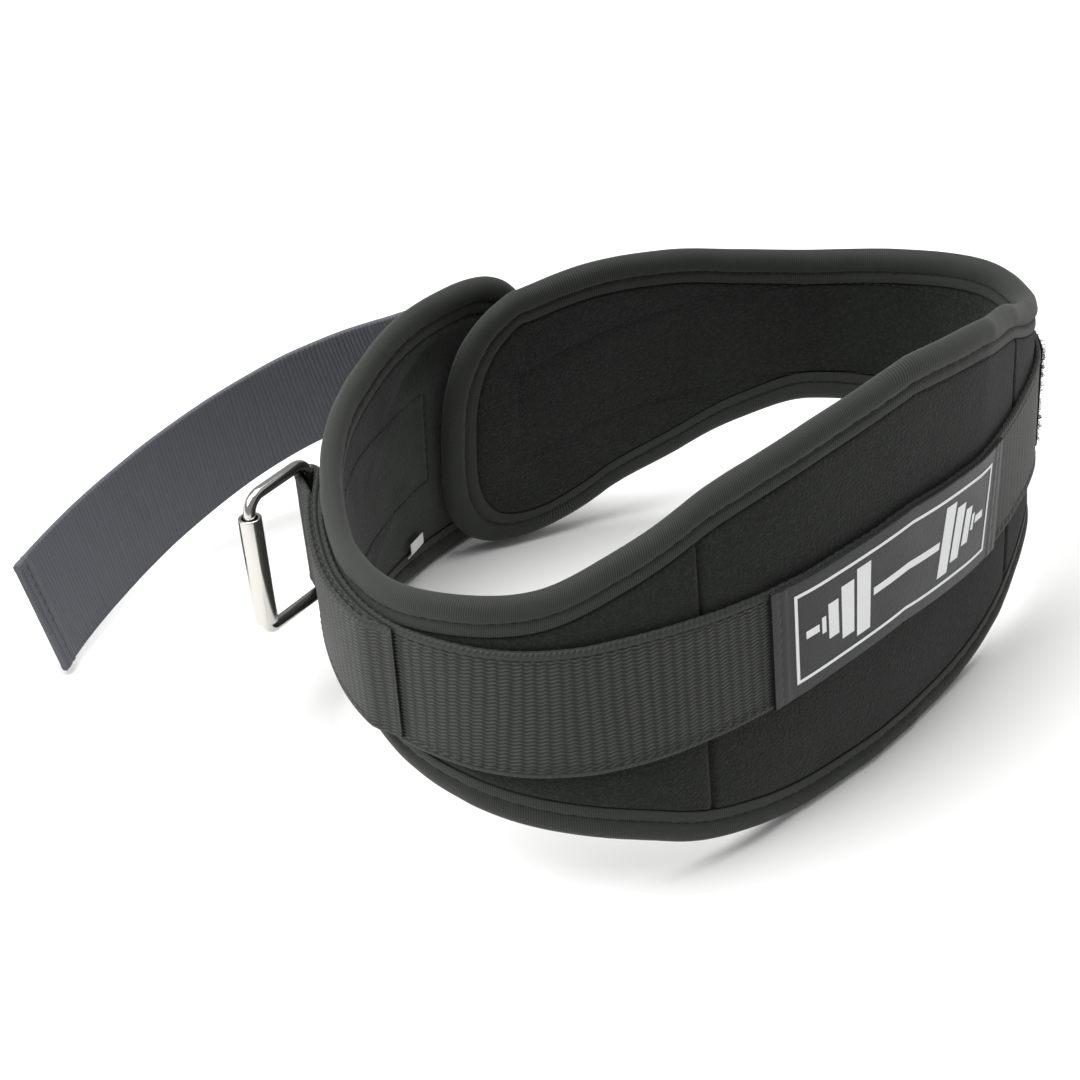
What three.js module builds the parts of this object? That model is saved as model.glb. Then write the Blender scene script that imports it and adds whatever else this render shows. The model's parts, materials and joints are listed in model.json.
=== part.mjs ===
import * as THREE from "three";

// A padded weightlifting belt, unfastened and standing on its lower edge as an open loop.
// Millimetres and degrees, +Z up. Along the belt, a share of 0 is the middle of the back and
// +1 is the tip of the strap's end; the buckle's end, or tongue, reaches a little past -1.

// Driving dimensions of the padded body
const strapSide = 386;
const buckleSide = 411;
const bodyThickness = 6.2;
const upperReach = 75;
const lowerReach = 80;
const endRound = 42;
const upperFullness = 2.4;
const lowerFullness = 3.2;

// Edge binding, folded over the edge of the body
const bindingWidth = 12.5;
const bindingThickness = 0.9;
const bindingRoll = 0.6;
const bindingMargin = 3.4;
const crownShare = 0.45;
const shoulderShare = 0.12;
const rimShare = 0.6;

// Webbing band, its free strap and what is sewn over it
const webbingWidth = 45;
const webbingThickness = 2;
const bandStart = -0.92;
const bandEnd = 0.93;
const strapShare = 0.72;
const strapSeam = 12;
const strapLength = 297;
const labelLength = 123;
const labelThickness = 0.9;
const pileStart = 0.33;
const pileEnd = 0.68;
const pileThickness = 1.8;
const pileMargin = 1.5;

// Buckle, its roller and the webbing loop that holds it
const wireDiameter = 4.3;
const frameWidth = 31;
const frameLength = 50;
const frameCorner = 3.4;
const rollerDiameter = 8;
const rollerWall = 1.5;
const rollerLength = 40;
const barShare = -0.738;
const barRise = 0.8;
const barTiltAlong = -1.9;
const barTiltOut = 1.8;
const frameSwing = 28.4;
const loopWidth = 43;
const loopEnd = -0.48;
const loopPinch = 10;
const barClearance = 0.3;
const eyeShoulder = 45;
const eyeFoot = 260;
const wholeTurn = 360;

// Size tag at the lower edge of the inner face
const tagShare = -0.885;
const tagLength = 9;
const tagHeight = 7.2;
const tagThickness = 0.5;
const tagInset = 13;

// Gaps and the flat that the lower edge takes where it rests
const gap = 0.3;
const marginGap = 0.5;
const restSink = 0.5;

// How fine the facets are
const bodyColumns = 52;
const endColumns = 8;
const bandRows = 3;
const rowLimit = 0.9;
const strapColumns = 34;
const wireSides = 10;
const cornerSteps = 5;
const rollerSides = 24;
const eyeSteps = 12;
const walkSteps = 600;
const leastCell = 1.5;

// Course of the body in plan and how it stands, by share of the strap's side:
// heading in plan, lean of the upper edge outwards, and the lower edge's height over the
// floor as a share of lowerReach
const course = [
  { at: -1.065, heading: -160, lean: -1, clear: 0.0 },
  { at: -1.0, heading: -137, lean: -1, clear: 0.0 },
  { at: -0.92, heading: -127, lean: 1, clear: 0.0 },
  { at: -0.84, heading: -112, lean: 3, clear: 0.03 },
  { at: -0.76, heading: -98, lean: 5, clear: 0.13 },
  { at: -0.68, heading: -83.5, lean: 6, clear: 0.28 },
  { at: -0.6, heading: -73, lean: 6, clear: 0.38 },
  { at: -0.52, heading: -57.5, lean: 4, clear: 0.39 },
  { at: -0.44, heading: -27.5, lean: -1, clear: 0.36 },
  { at: -0.36, heading: -1, lean: -7, clear: 0.31 },
  { at: -0.28, heading: 22, lean: -10.5, clear: 0.23 },
  { at: -0.2, heading: 33, lean: -7.5, clear: 0.09 },
  { at: -0.1, heading: 41, lean: -3.5, clear: 0.0 },
  { at: 0.0, heading: 48, lean: -3, clear: 0.0 },
  { at: 0.1, heading: 56, lean: -2.5, clear: 0.0 },
  { at: 0.2, heading: 64, lean: -5.5, clear: 0.12 },
  { at: 0.28, heading: 71, lean: -6.5, clear: 0.28 },
  { at: 0.36, heading: 103, lean: -4.5, clear: 0.4 },
  { at: 0.44, heading: 138.5, lean: 1.5, clear: 0.47 },
  { at: 0.52, heading: 170.5, lean: 2, clear: 0.53 },
  { at: 0.6, heading: 187.5, lean: 2.5, clear: 0.55 },
  { at: 0.68, heading: 198, lean: 1.5, clear: 0.46 },
  { at: 0.76, heading: 205.5, lean: -0.5, clear: 0.31 },
  { at: 0.84, heading: 208.5, lean: -2, clear: 0.18 },
  { at: 0.92, heading: 209, lean: -3, clear: 0.03 },
  { at: 1.0, heading: 210, lean: -4, clear: 0.0 },
];

// Reach of the two edges from the webbing's centre line, as shares of their reach at the back
const profile = [
  { at: 0.0, upper: 1.0, lower: 1.0 },
  { at: 0.1, upper: 0.965, lower: 0.955 },
  { at: 0.2, upper: 0.845, lower: 0.825 },
  { at: 0.28, upper: 0.665, lower: 0.67 },
  { at: 0.36, upper: 0.545, lower: 0.55 },
  { at: 0.44, upper: 0.485, lower: 0.48 },
  { at: 0.52, upper: 0.437, lower: 0.416 },
  { at: 0.6, upper: 0.42, lower: 0.392 },
  { at: 0.68, upper: 0.476, lower: 0.468 },
  { at: 0.76, upper: 0.58, lower: 0.595 },
  { at: 0.84, upper: 0.665, lower: 0.675 },
  { at: 0.92, upper: 0.715, lower: 0.73 },
  { at: 1.0, upper: 0.725, lower: 0.74 },
];

// Course of the free strap by share of its length: heading in plan, lean of its upper edge,
// and its centre line's fall below the seam, as a share of webbingWidth
const strapCourse = [
  { at: 0.0, heading: 201.5, lean: 0.5, fall: 0.0 },
  { at: 0.03, heading: 199, lean: -1, fall: 0.01 },
  { at: 0.075, heading: 192, lean: -4, fall: 0.02 },
  { at: 0.125, heading: 184, lean: -7, fall: 0.02 },
  { at: 0.175, heading: 177, lean: -10, fall: 0.04 },
  { at: 0.24, heading: 174, lean: -13, fall: 0.1 },
  { at: 0.31, heading: 174.5, lean: -15, fall: 0.165 },
  { at: 0.38, heading: 183, lean: -11, fall: 0.33 },
  { at: 0.45, heading: 195, lean: -7, fall: 0.475 },
  { at: 0.52, heading: 207, lean: -3.5, fall: 0.61 },
  { at: 0.585, heading: 218.5, lean: 0, fall: 0.73 },
  { at: 0.655, heading: 228, lean: 4, fall: 0.83 },
  { at: 0.72, heading: 234, lean: 7, fall: 0.905 },
  { at: 0.79, heading: 239, lean: 10, fall: 0.975 },
  { at: 0.86, heading: 244, lean: 13.5, fall: 1.03 },
  { at: 0.93, heading: 249.5, lean: 16, fall: 1.07 },
  { at: 1.0, heading: 254.5, lean: 19, fall: 1.095 },
];

const degree = Math.PI / 180;

// Value of a table's column at a place, along a smooth curve that never overshoots its rows
function column(rows, name, place) {
  const last = rows.length - 1;
  const at = Math.min(Math.max(place, rows[0].at), rows[last].at);
  let row = 0;
  while (row < last - 1 && at > rows[row + 1].at) row += 1;
  const rise = (k) => (rows[k + 1][name] - rows[k][name]) / (rows[k + 1].at - rows[k].at);
  const slope = (k) => {
    if (k === 0) return rise(0);
    if (k === last) return rise(last - 1);
    const before = rise(k - 1);
    const after = rise(k);
    return before * after > 0 ? (2 * before * after) / (before + after) : 0;
  };
  const span = rows[row + 1].at - rows[row].at;
  const t = (at - rows[row].at) / span;
  const t2 = t * t;
  const t3 = t2 * t;
  return (
    (2 * t3 - 3 * t2 + 1) * rows[row][name] +
    (t3 - 2 * t2 + t) * span * slope(row) +
    (3 * t2 - 2 * t3) * rows[row + 1][name] +
    (t3 - t2) * span * slope(row + 1)
  );
}

// A standing strip: its centre line is walked in short steps from its headings and heights.
// frame(distance) gives the centre point and the directions along, up across and out of it.
function strip(length, first, start, heading, height, lean) {
  const step = length / walkSteps;
  const points = [start.clone()];
  const slopeAt = (s) => (height(s + step) - height(s - step)) / (2 * step);
  for (let k = 0; k < walkSteps; k += 1) {
    const middle = first + (k + 0.5) * step;
    const run = Math.sqrt(1 - slopeAt(middle) ** 2) * step;
    const angle = heading(middle) * degree;
    const previous = points[k];
    points.push(new THREE.Vector3(previous.x + Math.cos(angle) * run, previous.y + Math.sin(angle) * run, 0));
  }
  return (distance) => {
    const place = Math.min(Math.max((distance - first) / step, 0), walkSteps);
    const k = Math.min(Math.floor(place), walkSteps - 1);
    const centre = points[k].clone().lerp(points[k + 1], place - k);
    centre.z = height(distance);
    const angle = heading(distance) * degree;
    const slope = slopeAt(distance);
    const run = Math.sqrt(1 - slope * slope);
    const along = new THREE.Vector3(Math.cos(angle) * run, Math.sin(angle) * run, slope);
    const level = new THREE.Vector3(Math.sin(angle), -Math.cos(angle), 0);
    const upright = level.clone().cross(along).normalize();
    const tilt = lean(distance) * degree;
    const across = upright.clone().multiplyScalar(Math.cos(tilt)).addScaledVector(level, Math.sin(tilt));
    const out = level.clone().multiplyScalar(Math.cos(tilt)).addScaledVector(upright, -Math.sin(tilt));
    return { centre, along, across, out };
  };
}

const upperEdge = (share) => upperReach * column(profile, "upper", Math.abs(share));
const lowerEdge = (share) => lowerReach * column(profile, "lower", Math.abs(share));
const beltHeight = (s) => {
  const share = s / strapSide;
  const lean = column(course, "lean", share) * degree;
  return lowerReach * column(course, "clear", share) + lowerEdge(share) * Math.cos(lean);
};
const beltFrame = strip(
  buckleSide + strapSide,
  -buckleSide,
  new THREE.Vector3(),
  (s) => column(course, "heading", s / strapSide),
  beltHeight,
  (s) => column(course, "lean", s / strapSide),
);

// Shares of the columns: even along the body and closer together round its ends
function bodyShares() {
  const inEnd = (k) => endRound * (1 - Math.sin((k / endColumns) * Math.PI * 0.5));
  const near = endRound - buckleSide;
  const far = strapSide - endRound;
  const distances = [];
  for (let k = endColumns; k > 0; k -= 1) distances.push(inEnd(k) - buckleSide);
  for (let k = 0; k <= bodyColumns; k += 1) distances.push(near + ((far - near) * k) / bodyColumns);
  for (let k = 1; k <= endColumns; k += 1) distances.push(strapSide - inEnd(k));
  return distances.map((distance) => distance / strapSide);
}
const shares = bodyShares();

// Point of the standing body: distance along it, height across it, depth out of its outer face.
// Between two columns it lies on the flat facet that joins them, so that layers stay parallel
function onBelt(distance, height, depth) {
  const share = distance / strapSide;
  let k = 0;
  while (k < shares.length - 2 && share > shares[k + 1]) k += 1;
  const [from, to] = [shares[k], shares[k + 1]].map((columnShare) => {
    const { centre, across, out } = beltFrame(columnShare * strapSide);
    return centre.addScaledVector(across, height).addScaledVector(out, depth);
  });
  return from.lerp(to, (share - shares[k]) / (shares[k + 1] - shares[k]));
}

// Depths of the layers sewn on the outer face
const webbingDepth = gap + webbingThickness;
const overWebbing = webbingDepth + gap;

// The free strap leaves the webbing where it is sewn on and is walked by its own table
const strapRoot = onBelt(strapShare * strapSide, 0, overWebbing);
const strapFrame = strip(
  strapLength,
  0,
  strapRoot,
  (s) => column(strapCourse, "heading", s / strapLength),
  (s) => strapRoot.z - webbingWidth * column(strapCourse, "fall", s / strapLength),
  (s) => column(strapCourse, "lean", s / strapLength),
);
function onStrap(distance, height, depth) {
  const { centre, across, out } = strapFrame(distance);
  return centre.addScaledVector(across, height).addScaledVector(out, depth);
}

// Collects points and faces of one closed solid
class Solid {
  constructor() {
    this.points = [];
    this.faces = [];
  }

  point(position) {
    this.points.push(position.x, position.y, position.z);
    return this.points.length / 3 - 1;
  }

  triangle(a, b, c) {
    if (a !== b && b !== c && c !== a) this.faces.push(a, b, c);
  }

  quad(a, b, c, d) {
    this.triangle(a, b, c);
    this.triangle(a, c, d);
  }

  // Joins two rings, or two rows when closed is false, of equally many points
  bridge(first, second, closed = true) {
    const count = first.length;
    const last = closed ? count : count - 1;
    for (let k = 0; k < last; k += 1) {
      const next = (k + 1) % count;
      this.quad(first[k], first[next], second[next], second[k]);
    }
  }

  geometry() {
    const geometry = new THREE.BufferGeometry();
    geometry.setAttribute("position", new THREE.Float32BufferAttribute(this.points, 3));
    geometry.setIndex(this.faces);
    return geometry;
  }
}

// How far into a round end a share lies, from 0 where it begins to 1 at the tip
function intoEnd(share) {
  const distance = share * strapSide;
  const fromTip = Math.min(distance + buckleSide, strapSide - distance);
  return Math.max(0, 1 - fromTip / endRound);
}

// How much of its height an edge keeps at a share
function endTaper(share, fullness) {
  return Math.max(0, 1 - intoEnd(share) ** fullness) ** (1 / fullness);
}

// Outline of the body, drawn in by an inset: one entry for each column. Only the round ends
// are shortened, so that columns stay in line from piece to piece
function outline(inset) {
  return shares.map((share) => ({
    distance: share * strapSide - Math.sign(share) * inset * intoEnd(share),
    top: (upperEdge(share) - inset) * endTaper(share, upperFullness),
    bottom: -(lowerEdge(share) - inset) * endTaper(share, lowerFullness),
  }));
}

// Ring of points round the outline: along the top edge and back along the bottom one
function outlineRing(solid, inset, depth) {
  const columns = outline(inset);
  const last = columns.length - 1;
  const ring = columns.map((c) => solid.point(onBelt(c.distance, c.top, depth)));
  for (let k = last - 1; k > 0; k -= 1) {
    ring.push(solid.point(onBelt(columns[k].distance, columns[k].bottom, depth)));
  }
  return ring;
}

// Heights of the rows across a band, from its lower edge to its upper one
function bandHeights(width) {
  const heights = [];
  for (let k = 0; k <= bandRows; k += 1) heights.push((k / bandRows - 0.5) * width);
  return heights;
}

// Face inside a ring: its rows run where the webbing's do, so that the two lie together
function fillRing(solid, ring, inset, depth, outwards) {
  const columns = outline(inset);
  const last = columns.length - 1;
  const heights = bandHeights(webbingWidth).reverse();
  const rows = columns.map((c, k) => {
    const top = ring[k];
    const bottom = ring[(2 * last - k) % (2 * last)];
    if (top === bottom) return new Array(heights.length + 2).fill(top);
    const row = heights.map((height) => {
      const edge = height > 0 ? c.top : -c.bottom;
      const kept = Math.sign(height) * Math.min(Math.abs(height), edge * rowLimit);
      return solid.point(onBelt(c.distance, kept, depth));
    });
    return [top, ...row, bottom];
  });
  for (let k = 0; k < last; k += 1) {
    if (outwards) solid.bridge(rows[k], rows[k + 1], false);
    else solid.bridge(rows[k + 1], rows[k], false);
  }
}

// Depth below the faces to which the binding's margins sink
const recess = gap + bindingThickness;

function bodyGeometry() {
  const solid = new Solid();
  const rim = bindingThickness + marginGap;
  const field = bindingWidth + marginGap;
  const sections = [
    [field, 0],
    [field, -recess],
    [rim + recess, -recess],
    [rim, -bodyThickness / 2],
    [rim + recess, recess - bodyThickness],
    [field, recess - bodyThickness],
    [field, -bodyThickness],
  ];
  const rings = sections.map(([inset, depth]) => outlineRing(solid, inset, depth));
  for (let k = 0; k < rings.length - 1; k += 1) solid.bridge(rings[k], rings[k + 1]);
  fillRing(solid, rings[0], field, 0, true);
  fillRing(solid, rings[rings.length - 1], field, -bodyThickness, false);
  return solid.geometry();
}

// The binding is one folded strip: a closed section carried round the outline. Half of the
// section is listed, from its inner margin's edge to the crown, and the other half mirrors it.
function bindingGeometry(floor) {
  const solid = new Solid();
  const middle = -bodyThickness / 2;
  const outside = [
    [bindingWidth, 0],
    [bindingWidth - bindingMargin, 0],
    [bindingWidth * crownShare, bindingRoll],
    [bindingWidth * shoulderShare, -bindingRoll],
    [0, middle * rimShare],
  ];
  const inside = [
    [bindingThickness + recess, -bindingThickness],
    [bindingWidth, -bindingThickness],
  ];
  const mirror = ([inset, depth]) => [inset, 2 * middle - depth];
  const sections = [
    ...outside,
    ...outside.map(mirror).reverse(),
    ...inside.map(mirror).reverse(),
    [bindingThickness, middle],
    ...inside,
  ];
  const rings = sections.map(([inset, depth]) => outlineRing(solid, inset, depth));
  for (let k = 0; k < rings.length; k += 1) solid.bridge(rings[k], rings[(k + 1) % rings.length]);
  for (let k = 2; k < solid.points.length; k += 3) solid.points[k] = Math.max(solid.points[k], floor);
  return solid.geometry();
}

// A flat strip along given distances of a standing surface, with rows at given heights. Both
// faces split their cells the same way as the body's outer face, so that layers lie together
function stripGeometry(places, heights, inner, outer) {
  const solid = new Solid();
  const face = (depth) => places.map((place) => heights.map((height) => solid.point(place(height, depth))));
  const front = face(outer);
  const back = face(inner);
  const end = places.length - 1;
  const top = heights.length - 1;
  for (let k = 0; k < end; k += 1) {
    for (let m = 0; m < top; m += 1) {
      solid.quad(front[k + 1][m], front[k + 1][m + 1], front[k][m + 1], front[k][m]);
      solid.quad(back[k + 1][m], back[k][m], back[k][m + 1], back[k + 1][m + 1]);
    }
    solid.quad(front[k + 1][0], front[k][0], back[k][0], back[k + 1][0]);
    solid.quad(front[k][top], front[k + 1][top], back[k + 1][top], back[k][top]);
  }
  for (let m = 0; m < top; m += 1) {
    solid.quad(front[0][m], front[0][m + 1], back[0][m + 1], back[0][m]);
    solid.quad(front[end][m + 1], front[end][m], back[end][m], back[end][m + 1]);
  }
  return solid.geometry();
}

// Stations of the belt between two shares: the body's own columns and both ends
function beltStations(from, to) {
  return beltDistances(from, to).map((distance) => (height, depth) => onBelt(distance, height, depth));
}

// Distances of the body's own columns between two shares, with both ends added
function beltDistances(from, to) {
  const [first, last] = [from * strapSide, to * strapSide];
  const columns = shares.map((share) => share * strapSide);
  const inside = columns.filter((distance) => Math.min(distance - first, last - distance) > leastCell);
  return [first, ...inside, last];
}

function webbingGeometry() {
  const stations = beltStations(bandStart, bandEnd);
  return stripGeometry(stations, bandHeights(webbingWidth), gap, webbingDepth);
}

function strapGeometry() {
  const stations = beltStations(strapShare - strapSeam / strapSide, strapShare).map(
    (place) => (height, depth) => place(height, overWebbing + depth),
  );
  for (let k = 1; k <= strapColumns; k += 1) {
    const distance = (strapLength * k) / strapColumns;
    stations.push((height, depth) => onStrap(distance, height, depth));
  }
  return stripGeometry(stations, bandHeights(webbingWidth), 0, webbingThickness);
}

function labelGeometry() {
  const half = labelLength / 2 / strapSide;
  const heights = bandHeights(webbingWidth);
  return stripGeometry(beltStations(-half, half), heights, overWebbing, overWebbing + labelThickness);
}

function pileGeometry() {
  const heights = bandHeights(webbingWidth - 2 * pileMargin);
  return stripGeometry(beltStations(pileStart, pileEnd), heights, overWebbing, overWebbing + pileThickness);
}

// Frame of the buckle's inner bar: it stands across the belt in the eye of its loop
const wireRadius = wireDiameter / 2;
const eyeRadius = wireRadius + barClearance;
const barDip = (loopWidth / 2) * Math.tan(barTiltOut * degree);
const barDepth = overWebbing + webbingThickness + eyeRadius + barDip;
const barDistance = barShare * strapSide;
const wall = beltFrame(barDistance);
const barAxis = wall.across
  .clone()
  .addScaledVector(wall.along, Math.tan(barTiltAlong * degree))
  .addScaledVector(wall.out, Math.tan(barTiltOut * degree))
  .normalize();
const barCentre = onBelt(barDistance, barRise, barDepth);

// The loop is one webbing folded round the bar and sewn together behind it: an eye and a
// doubled tail, drawn in plan as one contour and carried up across the band
function loopGeometry() {
  const solid = new Solid();
  const outerRadius = eyeRadius + webbingThickness;
  const doubled = overWebbing + 2 * webbingThickness;
  const tailShare = barShare + (outerRadius + loopPinch) / strapSide;
  const neck = beltDistances(barShare, tailShare).slice(1, -1);
  const tail = beltDistances(tailShare, loopEnd);
  const barAt = (height) => [
    barDistance + (height - barRise) * Math.tan(barTiltAlong * degree),
    barDepth + (height - barRise) * Math.tan(barTiltOut * degree),
  ];
  const eye = (radius, height, from, to) => {
    const [distance, depth] = barAt(height);
    const points = [];
    for (let k = 0; k <= eyeSteps; k += 1) {
      const angle = (from + ((to - from) * k) / eyeSteps) * degree;
      points.push([distance + radius * Math.cos(angle), depth + radius * Math.sin(angle)]);
    }
    return points;
  };
  const contour = (height) => {
    const [distance, depth] = barAt(height);
    return {
      outer: [
        ...eye(outerRadius, height, eyeShoulder, eyeFoot),
        ...neck.map((place) => [place, overWebbing]),
        ...tail.map((place) => [place, overWebbing]),
        ...tail.map((place) => [place, doubled]).reverse(),
      ],
      inner: [
        ...eye(eyeRadius, height, eyeShoulder, wholeTurn - eyeShoulder),
        [distance + outerRadius, depth],
      ],
    };
  };
  const rows = bandHeights(webbingWidth).slice(1, -1);
  const heights = [barRise - loopWidth / 2, ...rows, barRise + loopWidth / 2];
  const levels = heights.map((height) => {
    const { outer, inner } = contour(height);
    const place = ([distance, depth]) => solid.point(onBelt(distance, height, depth));
    return { outer: outer.map(place), inner: inner.map(place) };
  });
  for (let k = 1; k < levels.length; k += 1) {
    solid.bridge(levels[k].outer, levels[k - 1].outer);
    solid.bridge(levels[k - 1].inner, levels[k].inner);
  }

  // The two edges: the eye with its hole, then the tail cell by cell
  const flat = contour(barRise);
  const tailStart = eyeSteps + 1 + neck.length;
  const headOf = (outer) => [...outer.slice(0, tailStart + 1), outer[outer.length - 1]];
  const toVector = ([x, y]) => new THREE.Vector2(x, y);
  const head = headOf(flat.outer).map(toVector);
  const hole = flat.inner.map(toVector);
  const corners = [...head, ...hole];
  const faces = THREE.ShapeUtils.triangulateShape(head, [hole]);
  const lower = levels[0];
  const upper = levels[levels.length - 1];
  const lowerHead = [...headOf(lower.outer), ...lower.inner];
  const upperHead = [...headOf(upper.outer), ...upper.inner];
  for (const face of faces) {
    const turned = THREE.ShapeUtils.area(face.map((k) => corners[k])) < 0;
    const [a, b, c] = turned ? face : [...face].reverse();
    solid.triangle(upperHead[a], upperHead[b], upperHead[c]);
    solid.triangle(lowerHead[c], lowerHead[b], lowerHead[a]);
  }
  for (let k = 1; k < tail.length; k += 1) {
    const under = tailStart + k;
    const over = flat.outer.length - 1 - k;
    solid.quad(upper.outer[under], upper.outer[under - 1], upper.outer[over + 1], upper.outer[over]);
    solid.quad(lower.outer[over], lower.outer[over + 1], lower.outer[under - 1], lower.outer[under]);
  }
  return solid.geometry();
}

// Closed wire ring round a rectangle with round corners; x is across, from bar to bar, and
// z runs along the bars
function frameGeometry() {
  const solid = new Solid();
  const path = [];
  const halfBar = frameLength / 2 - frameCorner;
  const corners = [
    { x: frameWidth - frameCorner, z: halfBar, turn: 0 },
    { x: frameCorner, z: halfBar, turn: 90 },
    { x: frameCorner, z: -halfBar, turn: 180 },
    { x: frameWidth - frameCorner, z: -halfBar, turn: 270 },
  ];
  for (const corner of corners) {
    for (let k = 0; k <= cornerSteps; k += 1) {
      const angle = (corner.turn + (90 * k) / cornerSteps) * degree;
      path.push({ x: corner.x, z: corner.z, angle });
    }
  }
  const rings = path.map(({ x, z, angle }) => {
    const ring = [];
    for (let k = 0; k < wireSides; k += 1) {
      const round = (2 * Math.PI * k) / wireSides;
      const reach = frameCorner + wireRadius * Math.cos(round);
      const onWire = new THREE.Vector3(reach * Math.cos(angle), 0, reach * Math.sin(angle));
      ring.push(solid.point(onWire.add(new THREE.Vector3(x, wireRadius * Math.sin(round), z))));
    }
    return ring;
  });
  for (let k = 0; k < rings.length; k += 1) solid.bridge(rings[k], rings[(k + 1) % rings.length]);
  return solid.geometry();
}

// Tube that turns on the outer bar
function rollerGeometry() {
  const outer = rollerDiameter / 2;
  const inner = outer - rollerWall;
  const half = rollerLength / 2;
  const ring = [
    new THREE.Vector2(inner, -half),
    new THREE.Vector2(outer, -half),
    new THREE.Vector2(outer, half),
    new THREE.Vector2(inner, half),
    new THREE.Vector2(inner, -half),
  ];
  return new THREE.LatheGeometry(ring, rollerSides).rotateX(Math.PI / 2);
}

function tagGeometry() {
  const stations = beltStations(tagShare, tagShare + tagLength / strapSide);
  const low = tagInset - lowerEdge(tagShare);
  const outer = -bodyThickness - gap;
  const heights = [low, low + tagHeight];
  return stripGeometry(stations, heights, outer - tagThickness, outer);
}

function piece(name, geometry, colour, roughness, metalness = 0) {
  const material = new THREE.MeshStandardMaterial({ color: colour, roughness, metalness });
  const mesh = new THREE.Mesh(geometry, material);
  mesh.name = name;
  return mesh;
}

// The body and its binding settle until the lowest roll is pressed flat by restSink
function lowestEdge() {
  let lowest = Infinity;
  for (const { distance, bottom } of outline(0)) {
    for (const depth of [0, -bodyThickness / 2, -bodyThickness]) {
      lowest = Math.min(lowest, onBelt(distance, bottom, depth).z);
    }
  }
  return lowest;
}

const floor = lowestEdge() + restSink;
const belt = new THREE.Group();
belt.add(piece("body", bodyGeometry(), 0x27292a, 0.95));
belt.add(piece("binding", bindingGeometry(floor), 0x2d2f30, 0.8));
belt.add(piece("webbing", webbingGeometry(), 0x303235, 0.7));
belt.add(piece("strap", strapGeometry(), 0x34373c, 0.7));
belt.add(piece("label", labelGeometry(), 0x2a2c2e, 0.45));
belt.add(piece("pile_tape", pileGeometry(), 0x1f2020, 1));
belt.add(piece("buckle_loop", loopGeometry(), 0x303235, 0.7));
belt.add(piece("size_tag", tagGeometry(), 0xf2f2ee, 0.6));

// The buckle stands in its own turned group: z along the bars, x from the inner bar to the outer
const swing = frameSwing * degree;
const reachOut = wall.out.clone().addScaledVector(barAxis, -wall.out.dot(barAxis)).normalize();
const reachAlong = barAxis.clone().cross(reachOut).normalize();
if (reachAlong.dot(wall.along) < 0) reachAlong.negate();
const frameX = reachAlong.multiplyScalar(Math.cos(swing)).addScaledVector(reachOut, Math.sin(swing));
const frameY = barAxis.clone().cross(frameX);
const buckle = new THREE.Group();
buckle.position.copy(barCentre);
buckle.quaternion.setFromRotationMatrix(new THREE.Matrix4().makeBasis(frameX, frameY, barAxis));
buckle.add(piece("buckle_frame", frameGeometry(), 0xc9cbcc, 0.25, 1));
const roller = piece("buckle_roller", rollerGeometry(), 0xc4c6c8, 0.3, 1);
roller.position.set(frameWidth, 0, rollerLength / 2 + gap + frameCorner - frameLength / 2);
buckle.add(roller);
belt.add(buckle);

// Origin at the middle of the whole belt's box in plan, on the floor
belt.updateMatrixWorld(true);
const box = new THREE.Box3().setFromObject(belt, true);
const middle = box.getCenter(new THREE.Vector3());
const part = new THREE.Group();
belt.position.set(-middle.x, -middle.y, -floor);
part.add(belt);
part.updateMatrixWorld(true);

export default part;
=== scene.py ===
import json
import math

import bpy
import numpy as np
from mathutils import Matrix, Vector

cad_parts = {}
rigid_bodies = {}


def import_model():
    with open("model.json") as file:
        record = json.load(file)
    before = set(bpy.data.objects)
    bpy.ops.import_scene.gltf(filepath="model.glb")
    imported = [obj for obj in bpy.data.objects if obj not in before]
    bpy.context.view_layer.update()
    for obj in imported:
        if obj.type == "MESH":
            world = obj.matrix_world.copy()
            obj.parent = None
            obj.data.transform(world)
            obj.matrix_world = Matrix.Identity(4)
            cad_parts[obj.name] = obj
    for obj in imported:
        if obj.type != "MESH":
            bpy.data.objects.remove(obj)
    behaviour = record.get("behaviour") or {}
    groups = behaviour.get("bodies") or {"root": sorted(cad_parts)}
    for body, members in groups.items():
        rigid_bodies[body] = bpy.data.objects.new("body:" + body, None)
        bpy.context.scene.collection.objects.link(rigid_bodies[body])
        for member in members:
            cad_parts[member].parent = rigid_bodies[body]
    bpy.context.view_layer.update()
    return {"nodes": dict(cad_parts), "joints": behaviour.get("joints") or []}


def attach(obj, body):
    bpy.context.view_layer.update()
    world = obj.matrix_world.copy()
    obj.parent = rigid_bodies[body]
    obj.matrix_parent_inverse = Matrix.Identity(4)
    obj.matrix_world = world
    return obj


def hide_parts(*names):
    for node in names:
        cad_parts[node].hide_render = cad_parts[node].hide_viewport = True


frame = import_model()
print("frame: CAD nodes loaded,", len(frame["nodes"]))

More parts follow.
